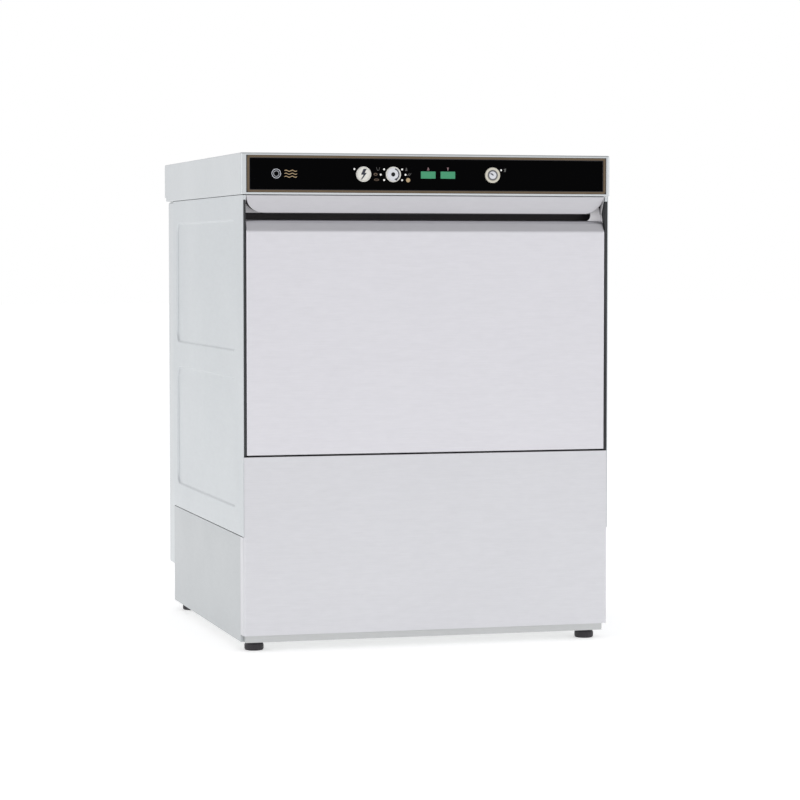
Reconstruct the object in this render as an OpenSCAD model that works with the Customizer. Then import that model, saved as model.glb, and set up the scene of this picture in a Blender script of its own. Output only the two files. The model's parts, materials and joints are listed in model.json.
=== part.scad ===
// Undercounter commercial dishwasher with a drop-down door.
// Millimetres, +Z up, the front faces -Y. The origin is on the floor, under the middle.
// A "depth" is measured back from the plane of the front panels.

/* [Cabinet] */
// Width over the side panels
body_w = 600; // [598:1:606]
// Width of the top cover
cover_w = 606; // [604:1:616]
// Depth from the front to the back of the top cover
cover_d = 644; // [640:1:660]
// Depth from the front to the back of the side panels
side_d = 578; // [576:1:580]
// Depth from the front to the back of the rear cover
rear_d = 628; // [624:1:636]
// Height from the floor to the top
total_h = 781; // [780:1:790]
// Underside of the top cover
cover_z = 716; // [715.5:0.5:717]
// How much higher the top cover's edge is behind the rear cover
rear_step = 7; // [0:0.5:10]
// Seam between the upper side panel and the base side panel
seam_z = 182; // [160:1:200]
// Thickness of the sheet steel
sheet_t = 1.2; // [0.8:0.1:1.5]

/* [Side panel fields] */
// Depth of the front edge of the pressed fields
field_front = 53; // [48:1:70]
// Depth of the rear edge of the pressed fields
field_rear = 549; // [520:1:555]
// Bottom of the lower field
low_field_bottom = 225; // [215:1:240]
// Top of the lower field
low_field_top = 428; // [400:1:440]
// Bottom of the upper field
high_field_bottom = 472; // [460:1:500]
// Top of the upper field
high_field_top = 676; // [640:1:690]
// Corner radius of the fields
field_r = 22; // [10:1:40]
// How far the fields are pressed in
field_sink = 1.5; // [0.5:0.1:3]

/* [Base] */
// Underside of the base, and height of the feet
foot_h = 15; // [12:1:20]
// Radius of a foot
foot_r = 15; // [12:1:20]
// Radius of a foot's threaded stud
stud_r = 4.95; // [4:0.05:5.5]
// Distance of the feet from the middle
foot_x = 275; // [250:1:278]
// Depth of the front feet
foot_front_d = 40; // [35:1:60]
// Depth of the rear feet
foot_rear_d = 553; // [500:1:555]
// Lower edge of the front panel
plinth_z = 27; // [25:1:30]
// Setback of the plinth behind the front panel
plinth_d = 10; // [5:1:15]

/* [Door] */
// Width of the door
door_w = 588.8; // [586:0.4:588.8]
// Lower edge of the door
door_z = 310; // [309:0.5:311]
// Gap below the door
door_gap = 3; // [3:0.5:5]
// Thickness of the door
door_t = 50; // [48:1:50]
// Where the groove under the handle starts
groove_z = 659; // [650:1:662]
// Depth of the side cheeks at the bottom of the groove
groove_floor_d = 9.6; // [9:0.1:10]
// Height of the bottom of the groove
groove_floor_z = 677; // [676:0.5:678]
// Depth of the handle's lower edge
lip_tip_d = 15.8; // [15:0.1:16.5]
// Height of the handle's lower edge
lip_tip_z = 688; // [687:0.5:689]
// Height of the handle's upper edge
lip_top = 715.5; // [713:0.1:715.6]
// Radius of the handle's lower corners
lip_r = 30; // [10:1:31]
// Radius of the dark edge moulding's lower corners
moulding_r = 18; // [10:1:28]
// Depth of the hinge axis
hinge_d = 11; // [10.5:0.5:11.5]
// Height of the hinge axis
hinge_z = 340; // [338:1:342]
// Radius of the hinge pins
pin_r = 5; // [4:0.5:6]
// Radial clearance of the hinge pins
pin_gap = 0.05; // [0.02:0.01:0.1]

/* [Control panel] */
// Width of the trim frame
bezel_w = 590.6; // [580:0.1:598]
// How far the trim frame sits to the right of the middle
bezel_shift = 1.3; // [-3:0.1:3]
// Lower edge of the trim frame
bezel_z = 719.2; // [718:0.1:724]
// Height of the trim frame
bezel_h = 58; // [50:1:58]
// Width of the trim frame's border at the ends
bezel_end = 5; // [3:0.5:8]
// Width of its border above and below
bezel_rim = 3.8; // [3:0.1:8]
// Height of the button centres
button_z = 748.5; // [745:0.5:752]
// Place of the power button across the machine
power_x = -106.1; // [-115:0.1:-100]
// Radius of the power button
power_r = 12; // [11:0.1:13.5]
// Place of the programme button across the machine
program_x = -57.8; // [-62:0.1:-54]
// Radius of the programme button
program_r = 12.1; // [11:0.1:13.5]
// Place of the start button across the machine
start_x = 105.4; // [95:0.1:115]
// Radius of the start button
start_r = 12.3; // [11:0.1:13.5]
// How far the buttons stand out
button_proud = 2; // [1:0.5:3]
// How far the buttons travel
button_travel = 1.5; // [1:0.1:2]
// Left edge of the left display
left_display_x = -12.5; // [-20:0.1:-8]
// Left edge of the right display
right_display_x = 19.8; // [19:0.1:30]
// Width of a display
display_w = 24; // [20:0.1:26]
// Height of a display
display_h = 11.2; // [10:0.1:16]

/* [Wash chamber] */
// Half of the inner width
chamber_x = 262; // [258:1:262]
// Rear wall's inner face
chamber_rear_y = 250; // [240:1:250]
// Height of the inner floor
chamber_floor = 312; // [311:0.5:313]
// Height of the inner ceiling
chamber_top = 700; // [699:0.5:701]
// Radius of the rear corners
chamber_r = 20; // [10:1:24]
// Centre of the spray arms
spray_y = -10; // [-20:1:0]
// Radius that the wash arms sweep
wash_arm_r = 235; // [200:1:240]
// Radius that the rinse arms sweep
rinse_arm_r = 225; // [200:1:240]

/* [Hidden] */
$fn = 48;
front_y = -321;
rail_gap = 0.2;
side_x = body_w / 2;
top_x = cover_w / 2;
door_x = door_w / 2;
inner_x = side_x - sheet_t;
panel_top_z = door_z - door_gap;
fold = 15;
field_d = [field_front, field_rear];
field_low = [low_field_bottom, low_field_top];
field_high = [high_field_bottom, high_field_top];
groove_floor = [groove_floor_d, groove_floor_z];
lip_tip = [lip_tip_d, lip_tip_z];
pocket_roof_z = lip_top - 7;
strip_d = [0.8, 44];
liner_x = 272;
lip_x = door_x - 1.4;
lip_run = lip_tip - [1, lip_top];
lip_angle = atan2(lip_run[0], -lip_run[1]);
lip_length = norm(lip_run);
liner_wide_z = 664;
frame_d = door_t + 4;
mouth_x = 255;
mouth_z = [365, 690];
field_x = 240;
field_z = [380, 675];
bezel_x = [bezel_shift - bezel_w / 2, bezel_shift + bezel_w / 2];
glass_x = [bezel_x[0] + bezel_end, bezel_x[1] - bezel_end];
glass_z = bezel_z + bezel_rim;
glass_h = bezel_h - 2 * bezel_rim;
glass_d = [1, 4];
power_key = [power_x, power_r];
program_key = [program_x, program_r];
start_key = [start_x, start_r];
keys = [power_key, program_key, start_key];
key_gap = 0.35;
display_x = [left_display_x, right_display_x];
display_z = button_z - 0.5;
led_r = 1.6;
led_z = button_z - 0.4;
led_dx = 14.6;
led_dz = 8.4;
led_middle_dx = 20.2;
leds = concat(
    [[power_x - led_dx, led_z + led_dz], [start_x + led_dx, led_z + led_dz]],
    [for (side = [-1, 1], row = [-1 : 1])
        [program_x + side * (row == 0 ? led_middle_dx : led_dx), led_z + row * led_dz]]
);
board_d = [16, 17.6];
switch_d = board_d[0] - 2.2;
chamber_z = [chamber_floor, chamber_top];
tank_x = 210;
tank_y = [-185, 165];
tank_z = 240;
sump_x = 95;
sump_r = 62;
sump_z = 200;
basket_r = 50;
standpipe_r = 14;
pipe_r = 14;
post_r = 10;
tip_r = 6;
bore_gap = 0.05;
main_z = 190;
spindle_z = main_z + pipe_r + 4;
riser_y = 281;
duct_z = chamber_top - 6;
pump_y = 120;
pump_z = 100;
volute_r = 70;
outlet_y = pump_y + volute_r - 22;
motor_r = 60;
shaft_r = 7.5;
boiler_x = 200;
boiler_z = 112;
boiler_r = 85;
boiler_y = [-250, 20];
lower_hub_z = chamber_floor + 10;
upper_hub_z = duct_z - 12;
rail_z = chamber_floor + 54;
cable_x = 277.5;
drum_r = 34;
cable_r = 1.5;
cable_z = hinge_z + drum_r;
spring_d = [143, 285];
spring_r = 7.5;
spring_wire = 1.5;
spring_turns = 14;
rod_r = 4;
drain_pump_port_y = -90;
valve_x = 200;
valve_z = 50;
drain_x = -200;
gland_x = -110;
plate_y = front_y + side_d - sheet_t;

// ---------------------------------------------------------------- helpers

// Box between two widths, two depths and two heights
module block(x, d, z) {
    translate([x[0], front_y + d[0], z[0]])
        cube([x[1] - x[0], d[1] - d[0], z[1] - z[0]]);
}

// A copy on each side of the middle
module both_sides() {
    children();
    mirror([1, 0, 0]) children();
}

// Extrude a width-height outline back from a depth
module along_y(d, length) {
    translate([0, front_y + d + length, 0])
        rotate([90, 0, 0])
        linear_extrude(length) children();
}

// Extrude a depth-height outline sideways from a width
module along_x(x, length) {
    translate([x, front_y, 0])
        rotate([90, 0, 90])
        linear_extrude(length) children();
}

// Rectangle with round corners, centred
module rounded(w, h, r) {
    square([w - 2 * r, h], center = true);
    square([w, h - 2 * r], center = true);
    for (x = [-1, 1], y = [-1, 1])
        translate([x * (w / 2 - r), y * (h / 2 - r)]) circle(r);
}

// Rounded rectangle between two corners
module rounded_between(a, b, r) {
    translate([(a[0] + b[0]) / 2, (a[1] + b[1]) / 2])
        rounded(b[0] - a[0], b[1] - a[1], r);
}

// Sheet seen edge on: a strip of thickness t on the left of a chain of points
function unit(v) = v / norm(v);
function left_of(a, b) = let (d = unit(b - a)) [-d[1], d[0]];
function mitre(p, i) =
    let (before = left_of(p[max(i - 1, 0)], p[max(i, 1)]))
    let (after = left_of(p[min(i, len(p) - 2)], p[min(i + 1, len(p) - 1)]))
    (before + after) / (1 + before * after);
module strip(points, t = sheet_t) {
    last = len(points) - 1;
    polygon(concat(points, [for (i = [last : -1 : 0]) points[i] + t * mitre(points, i)]));
}

// Cylinder along X from one end to the other, at a place given as [y, z]
module rod_x(x, at, r) {
    translate([x[0], at[0], at[1]])
        rotate([0, 90, 0]) cylinder(r = r, h = x[1] - x[0]);
}

// Cylinder along Y from one end to the other, at a place given as [x, z]
module rod_y(y, at, r) {
    translate([at[0], y[1], at[1]])
        rotate([90, 0, 0]) cylinder(r = r, h = y[1] - y[0]);
}

// Cylinder along Z from one end to the other, at a place given as [x, y]
module rod_z(z, at, r) {
    translate([at[0], at[1], z[0]]) cylinder(r = r, h = z[1] - z[0]);
}

// Smooth curve through control points: n steps per span
function spline_point(a, b, c, d, t) =
    0.5 * (2 * b + (c - a) * t + (2 * a - 5 * b + 4 * c - d) * t * t
    + (3 * b - a - 3 * c + d) * t * t * t);
function spline(p, n) = [
    for (i = [0 : len(p) - 2], k = [0 : n - 1])
        spline_point(p[max(i - 1, 0)], p[i], p[i + 1], p[min(i + 2, len(p) - 1)], k / n),
    p[len(p) - 1]
];
function tangent(p, i) = unit(p[min(i + 1, len(p) - 1)] - p[max(i - 1, 0)]);

// Solid tube wall of radius r along a path, with its rings square to it
module sweep(path, r, sides = 12, up = [0.13, 0.29, 0.95]) {
    n = len(path);
    points = [
        for (i = [0 : n - 1], k = [0 : sides - 1])
            let (t = tangent(path, i))
            let (u = unit(cross(t, up)))
            let (v = cross(t, u))
            let (a = 360 * k / sides)
            path[i] + r * (cos(a) * u + sin(a) * v)
    ];
    walls = [
        for (i = [0 : n - 2], k = [0 : sides - 1])
            let (j = (k + 1) % sides)
            [i * sides + k, i * sides + j, (i + 1) * sides + j, (i + 1) * sides + k]
    ];
    first = [for (k = [sides - 1 : -1 : 0]) k];
    last = [for (k = [0 : sides - 1]) (n - 1) * sides + k];
    polyhedron(points, concat([first, last], walls));
}

// ---------------------------------------------------------------- base and cabinet

module base_frame() {
    edge = side_x - 5;
    wall_d = [plinth_d, side_d - 8];
    color("silver") difference() {
        union() {
            difference() {
                block([-edge, edge], wall_d, [foot_h, plinth_z]);
                block([-edge + sheet_t, edge - sheet_t],
                    [wall_d[0] + sheet_t, wall_d[1] - sheet_t], [foot_h + sheet_t, plinth_z + 1]);
            }
            foot_places() cylinder(r = 14, h = plinth_z - foot_h);
        }
        foot_places()
            translate([0, 0, -1]) cylinder(r = stud_r + pin_gap, h = plinth_z - foot_h + 2);
    }
}

module foot_places() {
    for (x = [-foot_x, foot_x], d = [foot_front_d, foot_rear_d])
        translate([x, front_y + d, foot_h]) children();
}

module foot(x, d) {
    pad_h = foot_h - 0.5;
    color("#28262b") translate([x, front_y + d, 0]) {
        cylinder(r1 = foot_r - 1, r2 = foot_r, h = 2);
        translate([0, 0, 2]) cylinder(r = foot_r, h = pad_h - 2);
        cylinder(r = stud_r, h = plinth_z - 1);
    }
}

module foot_front_left() { foot(-foot_x, foot_front_d); }
module foot_front_right() { foot(foot_x, foot_front_d); }
module foot_rear_left() { foot(-foot_x, foot_rear_d); }
module foot_rear_right() { foot(foot_x, foot_rear_d); }

// Front panel of the base: it wraps round both corners below the seam
module front_lower_panel() {
    wrap = 23;
    corner_r = 4;
    corner_x = side_x - corner_r;
    joint_z = seam_z - 0.4;
    upper_x = inner_x - rail_gap;
    color("#d9dcde") {
        translate([0, 0, plinth_z]) linear_extrude(joint_z - plinth_z) difference() {
            wrapped_outline(corner_r, wrap, side_x);
            translate([0, sheet_t]) wrapped_outline(corner_r - sheet_t, wrap, inner_x);
        }
        block([-upper_x, upper_x], [0, sheet_t], [joint_z, panel_top_z]);
        both_sides() block([upper_x - sheet_t, upper_x], [sheet_t, 12], [joint_z, panel_top_z]);
        block([-upper_x, upper_x], [sheet_t, 30], [panel_top_z - sheet_t, panel_top_z]);
        block([-corner_x, corner_x], [sheet_t, 14], [plinth_z, plinth_z + sheet_t]);
    }
}

// Plan of the wrapped front: a rectangle with its two front corners rounded
module wrapped_outline(r, depth, half) {
    translate([-half, front_y + r]) square([2 * half, depth - r]);
    translate([-half + r, front_y]) square([2 * (half - r), depth]);
    for (x = [-half + r, half - r]) translate([x, front_y + r]) circle(r);
}

module base_panel() {
    front_d = 23.4;
    block([inner_x, side_x], [front_d, side_d], [foot_h, seam_z - 0.4]);
    block([side_x - 4.8, inner_x], [front_d, front_d + sheet_t], [foot_h, plinth_z]);
    block([side_x - fold, inner_x], [30, side_d], [seam_z - 0.4 - sheet_t, seam_z - 0.4]);
    block([side_x - fold, inner_x], [side_d - sheet_t, side_d], [plinth_z, seam_z - 2]);
}

module right_base_panel() { color("#cbd0d3") base_panel(); }
module left_base_panel() { color("#cbd0d3") mirror([1, 0, 0]) base_panel(); }

// Upper side panel with two pressed fields, folded edges and a tab that fills the corner
module side_panel() {
    pan_x = side_x - field_sink - sheet_t;
    difference() {
        block([inner_x, side_x], [0, side_d], [seam_z, cover_z]);
        for (z = [field_low, field_high])
            along_x(inner_x - 1, sheet_t + 2)
                rounded_between([field_d[0], z[0]], [field_d[1], z[1]], field_r);
    }
    for (z = [field_low, field_high]) difference() {
        along_x(pan_x, sheet_t + field_sink)
            rounded_between([field_d[0] - sheet_t, z[0] - sheet_t],
                [field_d[1] + sheet_t, z[1] + sheet_t], field_r + sheet_t);
        along_x(pan_x + sheet_t, sheet_t + field_sink)
            rounded_between([field_d[0], z[0]], [field_d[1], z[1]], field_r);
    }
    block([side_x - fold, inner_x], [60, side_d], [cover_z - sheet_t, cover_z]);
    block([side_x - fold, inner_x], [side_d - sheet_t, side_d], [seam_z, cover_z - sheet_t]);
    block([side_x - 4.8, inner_x + 0.5], [0.4, 14], [cover_z - 7.5, cover_z]);
}

module right_side_panel() { color("#d4d9db") side_panel(); }
module left_side_panel() { color("#d4d9db") mirror([1, 0, 0]) side_panel(); }

// Rear plate of the base, with the holes for water, waste and power
module rear_base_plate() {
    x = side_x - fold - 1;
    color("#c4c8cb") difference() {
        union() {
            block([-x, x], [side_d - sheet_t, side_d], [plinth_z, 160]);
            block([-x, x], [side_d - 14, side_d - sheet_t], [160 - sheet_t, 160]);
        }
        rod_y([plate_y - 5, plate_y + 5], [valve_x, valve_z], 14);
        rod_y([plate_y - 5, plate_y + 5], [drain_x, valve_z], 12);
        rod_y([plate_y - 5, plate_y + 5], [gland_x, valve_z], 10);
    }
}

module cover_screw_places() {
    for (x = [-side_x + 7.5, side_x - 7.5], z = [100, 300, 500, 695])
        translate([x, front_y + rear_d, z]) rotate([90, 0, 0]) children();
}

// Cover over the pipes at the back: a pan that opens forwards
module rear_cover() {
    x = side_x - 1;
    z = [77, cover_z - 1];
    t = sheet_t;
    color("#dcdee0") difference() {
        block([-x, x], [side_d, rear_d], z);
        block([-x + t, x - t], [side_d - 1, rear_d - t], [z[0] + t, z[1] - t]);
        cover_screw_places() translate([0, 0, -1]) cylinder(r = 2.1, h = 4);
        for (i = [0 : 9])
            block([-120, 120], [rear_d - 3, rear_d + 1], [200 + 12 * i, 204 + 12 * i]);
    }
}

module cover_spacers() {
    gap = rear_d - side_d - sheet_t;
    color("#9aa0a6") cover_screw_places() translate([0, 0, sheet_t]) difference() {
        cylinder(r = 4.5, h = gap);
        translate([0, 0, -1]) cylinder(r = 2, h = 12);
    }
}

module panel_screws() {
    color("#8d9298") cover_screw_places() {
        translate([0, 0, -2]) cylinder(r = 3.8, h = 2);
        cylinder(r = 2, h = 9);
    }
}

// Top cover: a shallow lid with a window at the front for the control panel
module top_cover() {
    t = sheet_t;
    mid_y = front_y + cover_d / 2;
    color("#d9dcde") difference() {
        translate([0, mid_y, cover_z]) linear_extrude(total_h - cover_z)
            rounded(cover_w, cover_d, 4);
        translate([0, mid_y, cover_z + t]) linear_extrude(total_h - cover_z - 2 * t)
            rounded(cover_w - 2 * t, cover_d - 2 * t, 4 - t);
        block([-top_x + 20, top_x - 20], [22, cover_d - 24], [cover_z - 1, cover_z + 2 * t]);
        block(bezel_x, [-1, 12], [bezel_z, bezel_z + bezel_h]);
        block([-top_x - 1, top_x + 1], [rear_d + 0.5, cover_d + 1],
            [cover_z - 1, cover_z + rear_step]);
    }
}

// ---------------------------------------------------------------- control panel

module fascia_bezel() {
    color("#6a5d4c") difference() {
        block(bezel_x, [-0.4, 7], [bezel_z, bezel_z + bezel_h]);
        block(glass_x, [-1, 8], [glass_z, glass_z + glass_h]);
    }
}

// Glass with a hole for each button, light and display
module fascia_glass() {
    through = [0, glass_d[1] + 2];
    color("#050506") difference() {
        block(glass_x, glass_d, [glass_z, glass_z + glass_h]);
        for (key = keys) round_block(through, [key[0], button_z], key[1] + key_gap);
        for (led = leds) round_block(through, led, led_r);
        for (x = display_x) display_block(x, through);
    }
}

// Round bar between two depths, at a place given as [x, z]
module round_block(d, at, r) {
    rod_y([front_y + d[0], front_y + d[1]], at, r);
}

module display_block(x, d) {
    block([x, x + display_w], d, [display_z - display_h / 2, display_z + display_h / 2]);
}

module temperature_displays() {
    color("#52a57d") for (x = display_x) display_block(x, [0.8, board_d[0]]);
}

module indicator_lights() {
    color("white") for (led = leds) round_block([0.8, board_d[0]], led, led_r);
}

// Circuit board behind the glass, with a switch behind each button
module control_board() {
    board_x = 150;
    switch = 4;
    plug_x = board_x - 10;
    plug = [3, 8];
    color("#1f6b3a") {
        block([-board_x, board_x], board_d, [glass_z + 2, glass_z + glass_h - 2]);
        for (key = keys)
            block([key[0] - switch, key[0] + switch], [switch_d, board_d[0]],
                [button_z - switch, button_z + switch]);
        for (x = [-plug_x, plug_x])
            block([x - plug[0], x + plug[0]], [board_d[1], board_d[1] + 6.4],
                [button_z - plug[1], button_z + plug[1]]);
    }
}

// Round key with a flange behind the glass and a stem to its switch
module key(place) {
    back_d = glass_d[1] + 2;
    stem_d = switch_d - button_travel - 0.3;
    at = [place[0], button_z];
    round_block([-button_proud, back_d], at, place[1]);
    round_block([glass_d[1] + 0.3, back_d], at, place[1] + 1.4);
    round_block([back_d - 1, stem_d], at, 3);
}

module power_button() { color("#f2f2f0") key(power_key); }
module program_button() { color("#f2f2f0") key(program_key); }
module start_button() { color("#d9d6c8") key(start_key); }

// ---------------------------------------------------------------- door opening

// Steel frame round the mouth of the wash chamber
module front_frame() {
    x = side_x - 3;
    bottom = door_z - 10;
    color("#c9ced1") difference() {
        union() {
            block([-x, x], [frame_d, frame_d + sheet_t], [bottom, cover_z - 4]);
            block([-x, x], [frame_d - 10, frame_d], [bottom, bottom + sheet_t]);
        }
        along_y(frame_d - 1, 4) mouth_outline(0, 20);
        both_sides() round_block([frame_d - 2, frame_d + 4], [cable_x, cable_z], 4);
    }
}

// Outline of the door opening, grown by a margin, with corners of radius r
module mouth_outline(grow, r) {
    rounded_between([-mouth_x - grow, mouth_z[0] - grow], [mouth_x + grow, mouth_z[1] + grow], r);
}

module door_gasket() {
    color("#2c2c2e") along_y(door_t + 0.3, frame_d - door_t - 0.3) difference() {
        mouth_outline(13, 26);
        mouth_outline(3, 20);
    }
}

module door_edge_strips() {
    color("#2b2e31") both_sides()
        block([door_x + 0.6, inner_x], strip_d, [door_z - 1, cover_z - 8]);
}

// Hinge bracket on the cabinet: a plate with the bearing hole, and a foot on the frame
module hinge_brackets() {
    axis = [front_y + hinge_d, hinge_z];
    plate_x = [285, 289];
    boss = 8;
    z = [hinge_z - boss, hinge_z + boss];
    color("#8f959b") both_sides() difference() {
        union() {
            rod_x(plate_x, axis, boss);
            block(plate_x, [hinge_d, frame_d], z);
            block(plate_x + [-5, 5], [frame_d - 2, frame_d], z);
        }
        rod_x(plate_x + [-1, 1], axis, pin_r + pin_gap);
    }
}

// Plate on the wash chamber that each door spring pushes against
module spring_brackets() {
    plate_d = [spring_d[0] - 3, spring_d[0]];
    outer_x = chamber_x + sheet_t;
    z = [cable_z - 14, cable_z + 14];
    color("#8f959b") both_sides() difference() {
        union() {
            block([outer_x, outer_x + 29], plate_d, z);
            block([outer_x, outer_x + 2], [plate_d[0] - 20, plate_d[1]], z);
        }
        round_block(plate_d + [-1, 1], [cable_x, cable_z], rod_r + 1);
    }
}

// ---------------------------------------------------------------- door

// Front sheet of the door, its folded edges and the slanted band below the handle
module door_skin() {
    t = sheet_t;
    edge = [door_x - t, door_x];
    flange_d = 24;
    shelf_z = 655;
    deep_d = door_t - 2;
    bracket_slot = [283, 291];
    band = [
        [0, groove_z], [7.4, groove_floor_z - 5], [9.1, groove_floor_z - 2.4],
        [11.6, groove_floor_z - 0.7], [lip_tip_d - 0.6, groove_floor_z]
    ];
    side_outline = [
        [0, door_z], [flange_d, door_z], [flange_d, shelf_z], [deep_d, shelf_z],
        [deep_d, lip_top - 3], [3.2, lip_top - 3], lip_tip, groove_floor, [0, groove_z]
    ];
    color("#dcdbe0") {
        block([-door_x, door_x], [0, t], [door_z, groove_z]);
        along_x(-edge[0], 2 * edge[0]) strip(band, -t);
        both_sides() along_x(edge[0], t) polygon(side_outline);
        difference() {
            block([-edge[0], edge[0]], [t, flange_d], [door_z, door_z + t]);
            both_sides() block(bracket_slot, [t, flange_d + 1], [door_z - 1, door_z + 3]);
        }
        both_sides() block([liner_x, edge[0]], [21, 22], [lip_tip_z - 1, pocket_roof_z - 0.2]);
    }
}

// Inner face of the door, with a raised field that enters the wash chamber
module door_liner() {
    t = sheet_t;
    face_d = [door_t - t, door_t];
    rise = 6;
    start_d = 24;
    foot_z = hinge_z + 3;
    color("#cfd3d6") {
        difference() {
            union() {
                block([-liner_x, liner_x], face_d, [foot_z, liner_wide_z]);
                block([-lip_x, lip_x], face_d, [liner_wide_z, lip_top - 3]);
            }
            along_y(door_t - 3, 5) field_outline(0);
        }
        difference() {
            along_y(face_d[0], t + rise) field_outline(t);
            along_y(face_d[0] - 1, rise + 1) field_outline(0);
        }
        both_sides() block([liner_x - t, liner_x], [start_d, face_d[0]], [foot_z, liner_wide_z]);
        block([-liner_x, liner_x], [start_d, face_d[0]], [foot_z, foot_z + t]);
    }
}

// Outline of the liner's raised field, grown by a margin
module field_outline(grow) {
    rounded_between([-field_x - grow, field_z[0] - grow], [field_x + grow, field_z[1] + grow],
        18 + grow);
}

// Places its children in the handle's slanted plane: the origin on its upper edge, -Y down it
module in_lip_plane() {
    translate([0, front_y + 1, lip_top]) rotate([90 + lip_angle, 0, 0]) children();
}

// What rounding the handle's right-hand lower corner takes away
module lip_corner(r, drop = 0) {
    margin = 5;
    in_lip_plane()
        translate([lip_x - r, -lip_length + r - drop, -10])
        linear_extrude(20) difference() {
            translate([0, -r - margin]) square(r + margin);
            circle(r);
        }
}

module handle_lip() {
    profile = [lip_tip, [1, lip_top], [13, lip_top]];
    color("#c6c5cb") difference() {
        along_x(-lip_x, 2 * lip_x) strip(profile, -2);
        both_sides() lip_corner(lip_r);
    }
}

// Dark pocket behind the handle, for the fingers, with a dark edge below the handle's
module handle_grip() {
    drop = 3;
    floor_z = 670;
    back_d = 43;
    pocket = [
        [lip_tip_d + 2.2, groove_floor_z], [lip_tip_d + 4.8, floor_z], [back_d, floor_z],
        [back_d, pocket_roof_z], [13, pocket_roof_z]
    ];
    color("#232125") {
        difference() {
            in_lip_plane() translate([-lip_x, -lip_length - drop, -3.2])
                cube([2 * lip_x, lip_length - 2, 1.2]);
            both_sides() lip_corner(moulding_r, drop);
        }
        along_x(-lip_x, 2 * lip_x) strip(pocket, -2);
    }
}

// Pins that carry the door in the brackets
module hinge_pins() {
    color("#b9bdc2") both_sides()
        rod_x([274, door_x - sheet_t], [front_y + hinge_d, hinge_z], pin_r);
}

// Quarter drums that pull the spring cables, each on a foot screwed to the door
module hinge_quadrants() {
    axis = [front_y + hinge_d, hinge_z];
    drum_x = [275, 280];
    rim = drum_r - cable_r - 0.5;
    color("#9ba1a7") both_sides() difference() {
        union() {
            intersection() {
                rod_x(drum_x, axis, rim);
                block(drum_x, [hinge_d, hinge_d + rim], [hinge_z, hinge_z + rim]);
            }
            rod_x(drum_x, axis, 9);
            block([262, drum_x[1]], [sheet_t, 3.2], [320, 380]);
            block(drum_x, [3.2, hinge_d], [hinge_z - 8, hinge_z + 8]);
        }
        rod_x([drum_x[0] - 1, drum_x[1] + 1], axis, pin_r);
    }
}

// Cable and threaded rod of each door spring, with its end washer
module spring_rods() {
    at = [cable_x, cable_z];
    rod_d = spring_d[0] - 18;
    color("#a8adb3") both_sides() {
        round_block([14, rod_d + 1], at, cable_r);
        round_block([rod_d, spring_d[1] + 15], at, rod_r);
        round_block([spring_d[1], spring_d[1] + 6], at, 10);
    }
}

// Compression springs, as true coils
module door_springs() {
    turn_steps = 10;
    steps = spring_turns * turn_steps;
    turn = 360 / turn_steps;
    span = spring_d[1] - spring_d[0] - 2 * spring_wire;
    coil = [
        for (i = [0 : steps])
            [
                cable_x + spring_r * cos(turn * i),
                front_y + spring_d[0] + spring_wire + span * i / steps,
                cable_z + spring_r * sin(turn * i)
            ]
    ];
    color("#7d8288") both_sides() sweep(coil, spring_wire * 0.8, 5, [0, 1, 0.01]);
}

// ---------------------------------------------------------------- wash chamber

// Plan of the chamber: square at the front, with round corners at the back
module chamber_plan(grow) {
    half = chamber_x + grow;
    r = chamber_r + grow;
    front = front_y + frame_d + sheet_t;
    rear = chamber_rear_y + grow;
    translate([-half, front]) square([2 * half, rear - r - front]);
    translate([-half + r, front]) square([2 * (half - r), rear - front]);
    for (x = [-half + r, half - r]) translate([x, rear - r]) circle(r);
}

module wash_chamber() {
    t = sheet_t;
    height = chamber_z[1] - chamber_z[0];
    color("#c2c7ca") difference() {
        translate([0, 0, chamber_z[0] - t]) linear_extrude(height + 2 * t) chamber_plan(t);
        translate([0, 0, chamber_z[0]]) linear_extrude(height) chamber_plan(0);
        block([-chamber_x, chamber_x], [frame_d, frame_d + t + 1], chamber_z);
        translate([-tank_x, tank_y[0], chamber_z[0] - 3])
            cube([2 * tank_x, tank_y[1] - tank_y[0], 6]);
        rod_y([chamber_rear_y - 2, chamber_rear_y + 4], [0, duct_z - 1], 4.5);
    }
}

// Angle rails that a rack slides on
module rack_rails() {
    t = 1.5;
    shelf = 20;
    wall = 24;
    y = [front_y + frame_d + 12, chamber_rear_y - 30];
    color("#b5babd") both_sides() {
        translate([chamber_x - shelf, y[0], rail_z]) cube([shelf, y[1] - y[0], t]);
        translate([chamber_x - t, y[0], rail_z]) cube([t, y[1] - y[0], wall]);
    }
}

// Tank that hangs under the chamber floor, with a round sump
module wash_tank() {
    t = sheet_t;
    rim = 20;
    top = chamber_floor - t;
    size = [2 * tank_x, tank_y[1] - tank_y[0]];
    color("#b9bec1") difference() {
        union() {
            translate([-tank_x - rim, tank_y[0] - rim, top - t])
                cube([size[0] + 2 * rim, size[1] + 2 * rim, t]);
            translate([-tank_x - t, tank_y[0] - t, tank_z - t])
                cube([size[0] + 2 * t, size[1] + 2 * t, top - tank_z]);
            rod_z([sump_z, tank_z], [sump_x, spray_y], sump_r + t);
        }
        translate([-tank_x, tank_y[0], tank_z]) cube([size[0], size[1], top]);
        rod_z([sump_z + t, tank_z + 1], [sump_x, spray_y], sump_r);
        rod_z([sump_z - 1, sump_z + 2], [sump_x, spray_y], standpipe_r + 2);
        rod_z([tank_z - 3, tank_z + 3], [0, spray_y], pipe_r);
    }
}

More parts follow.
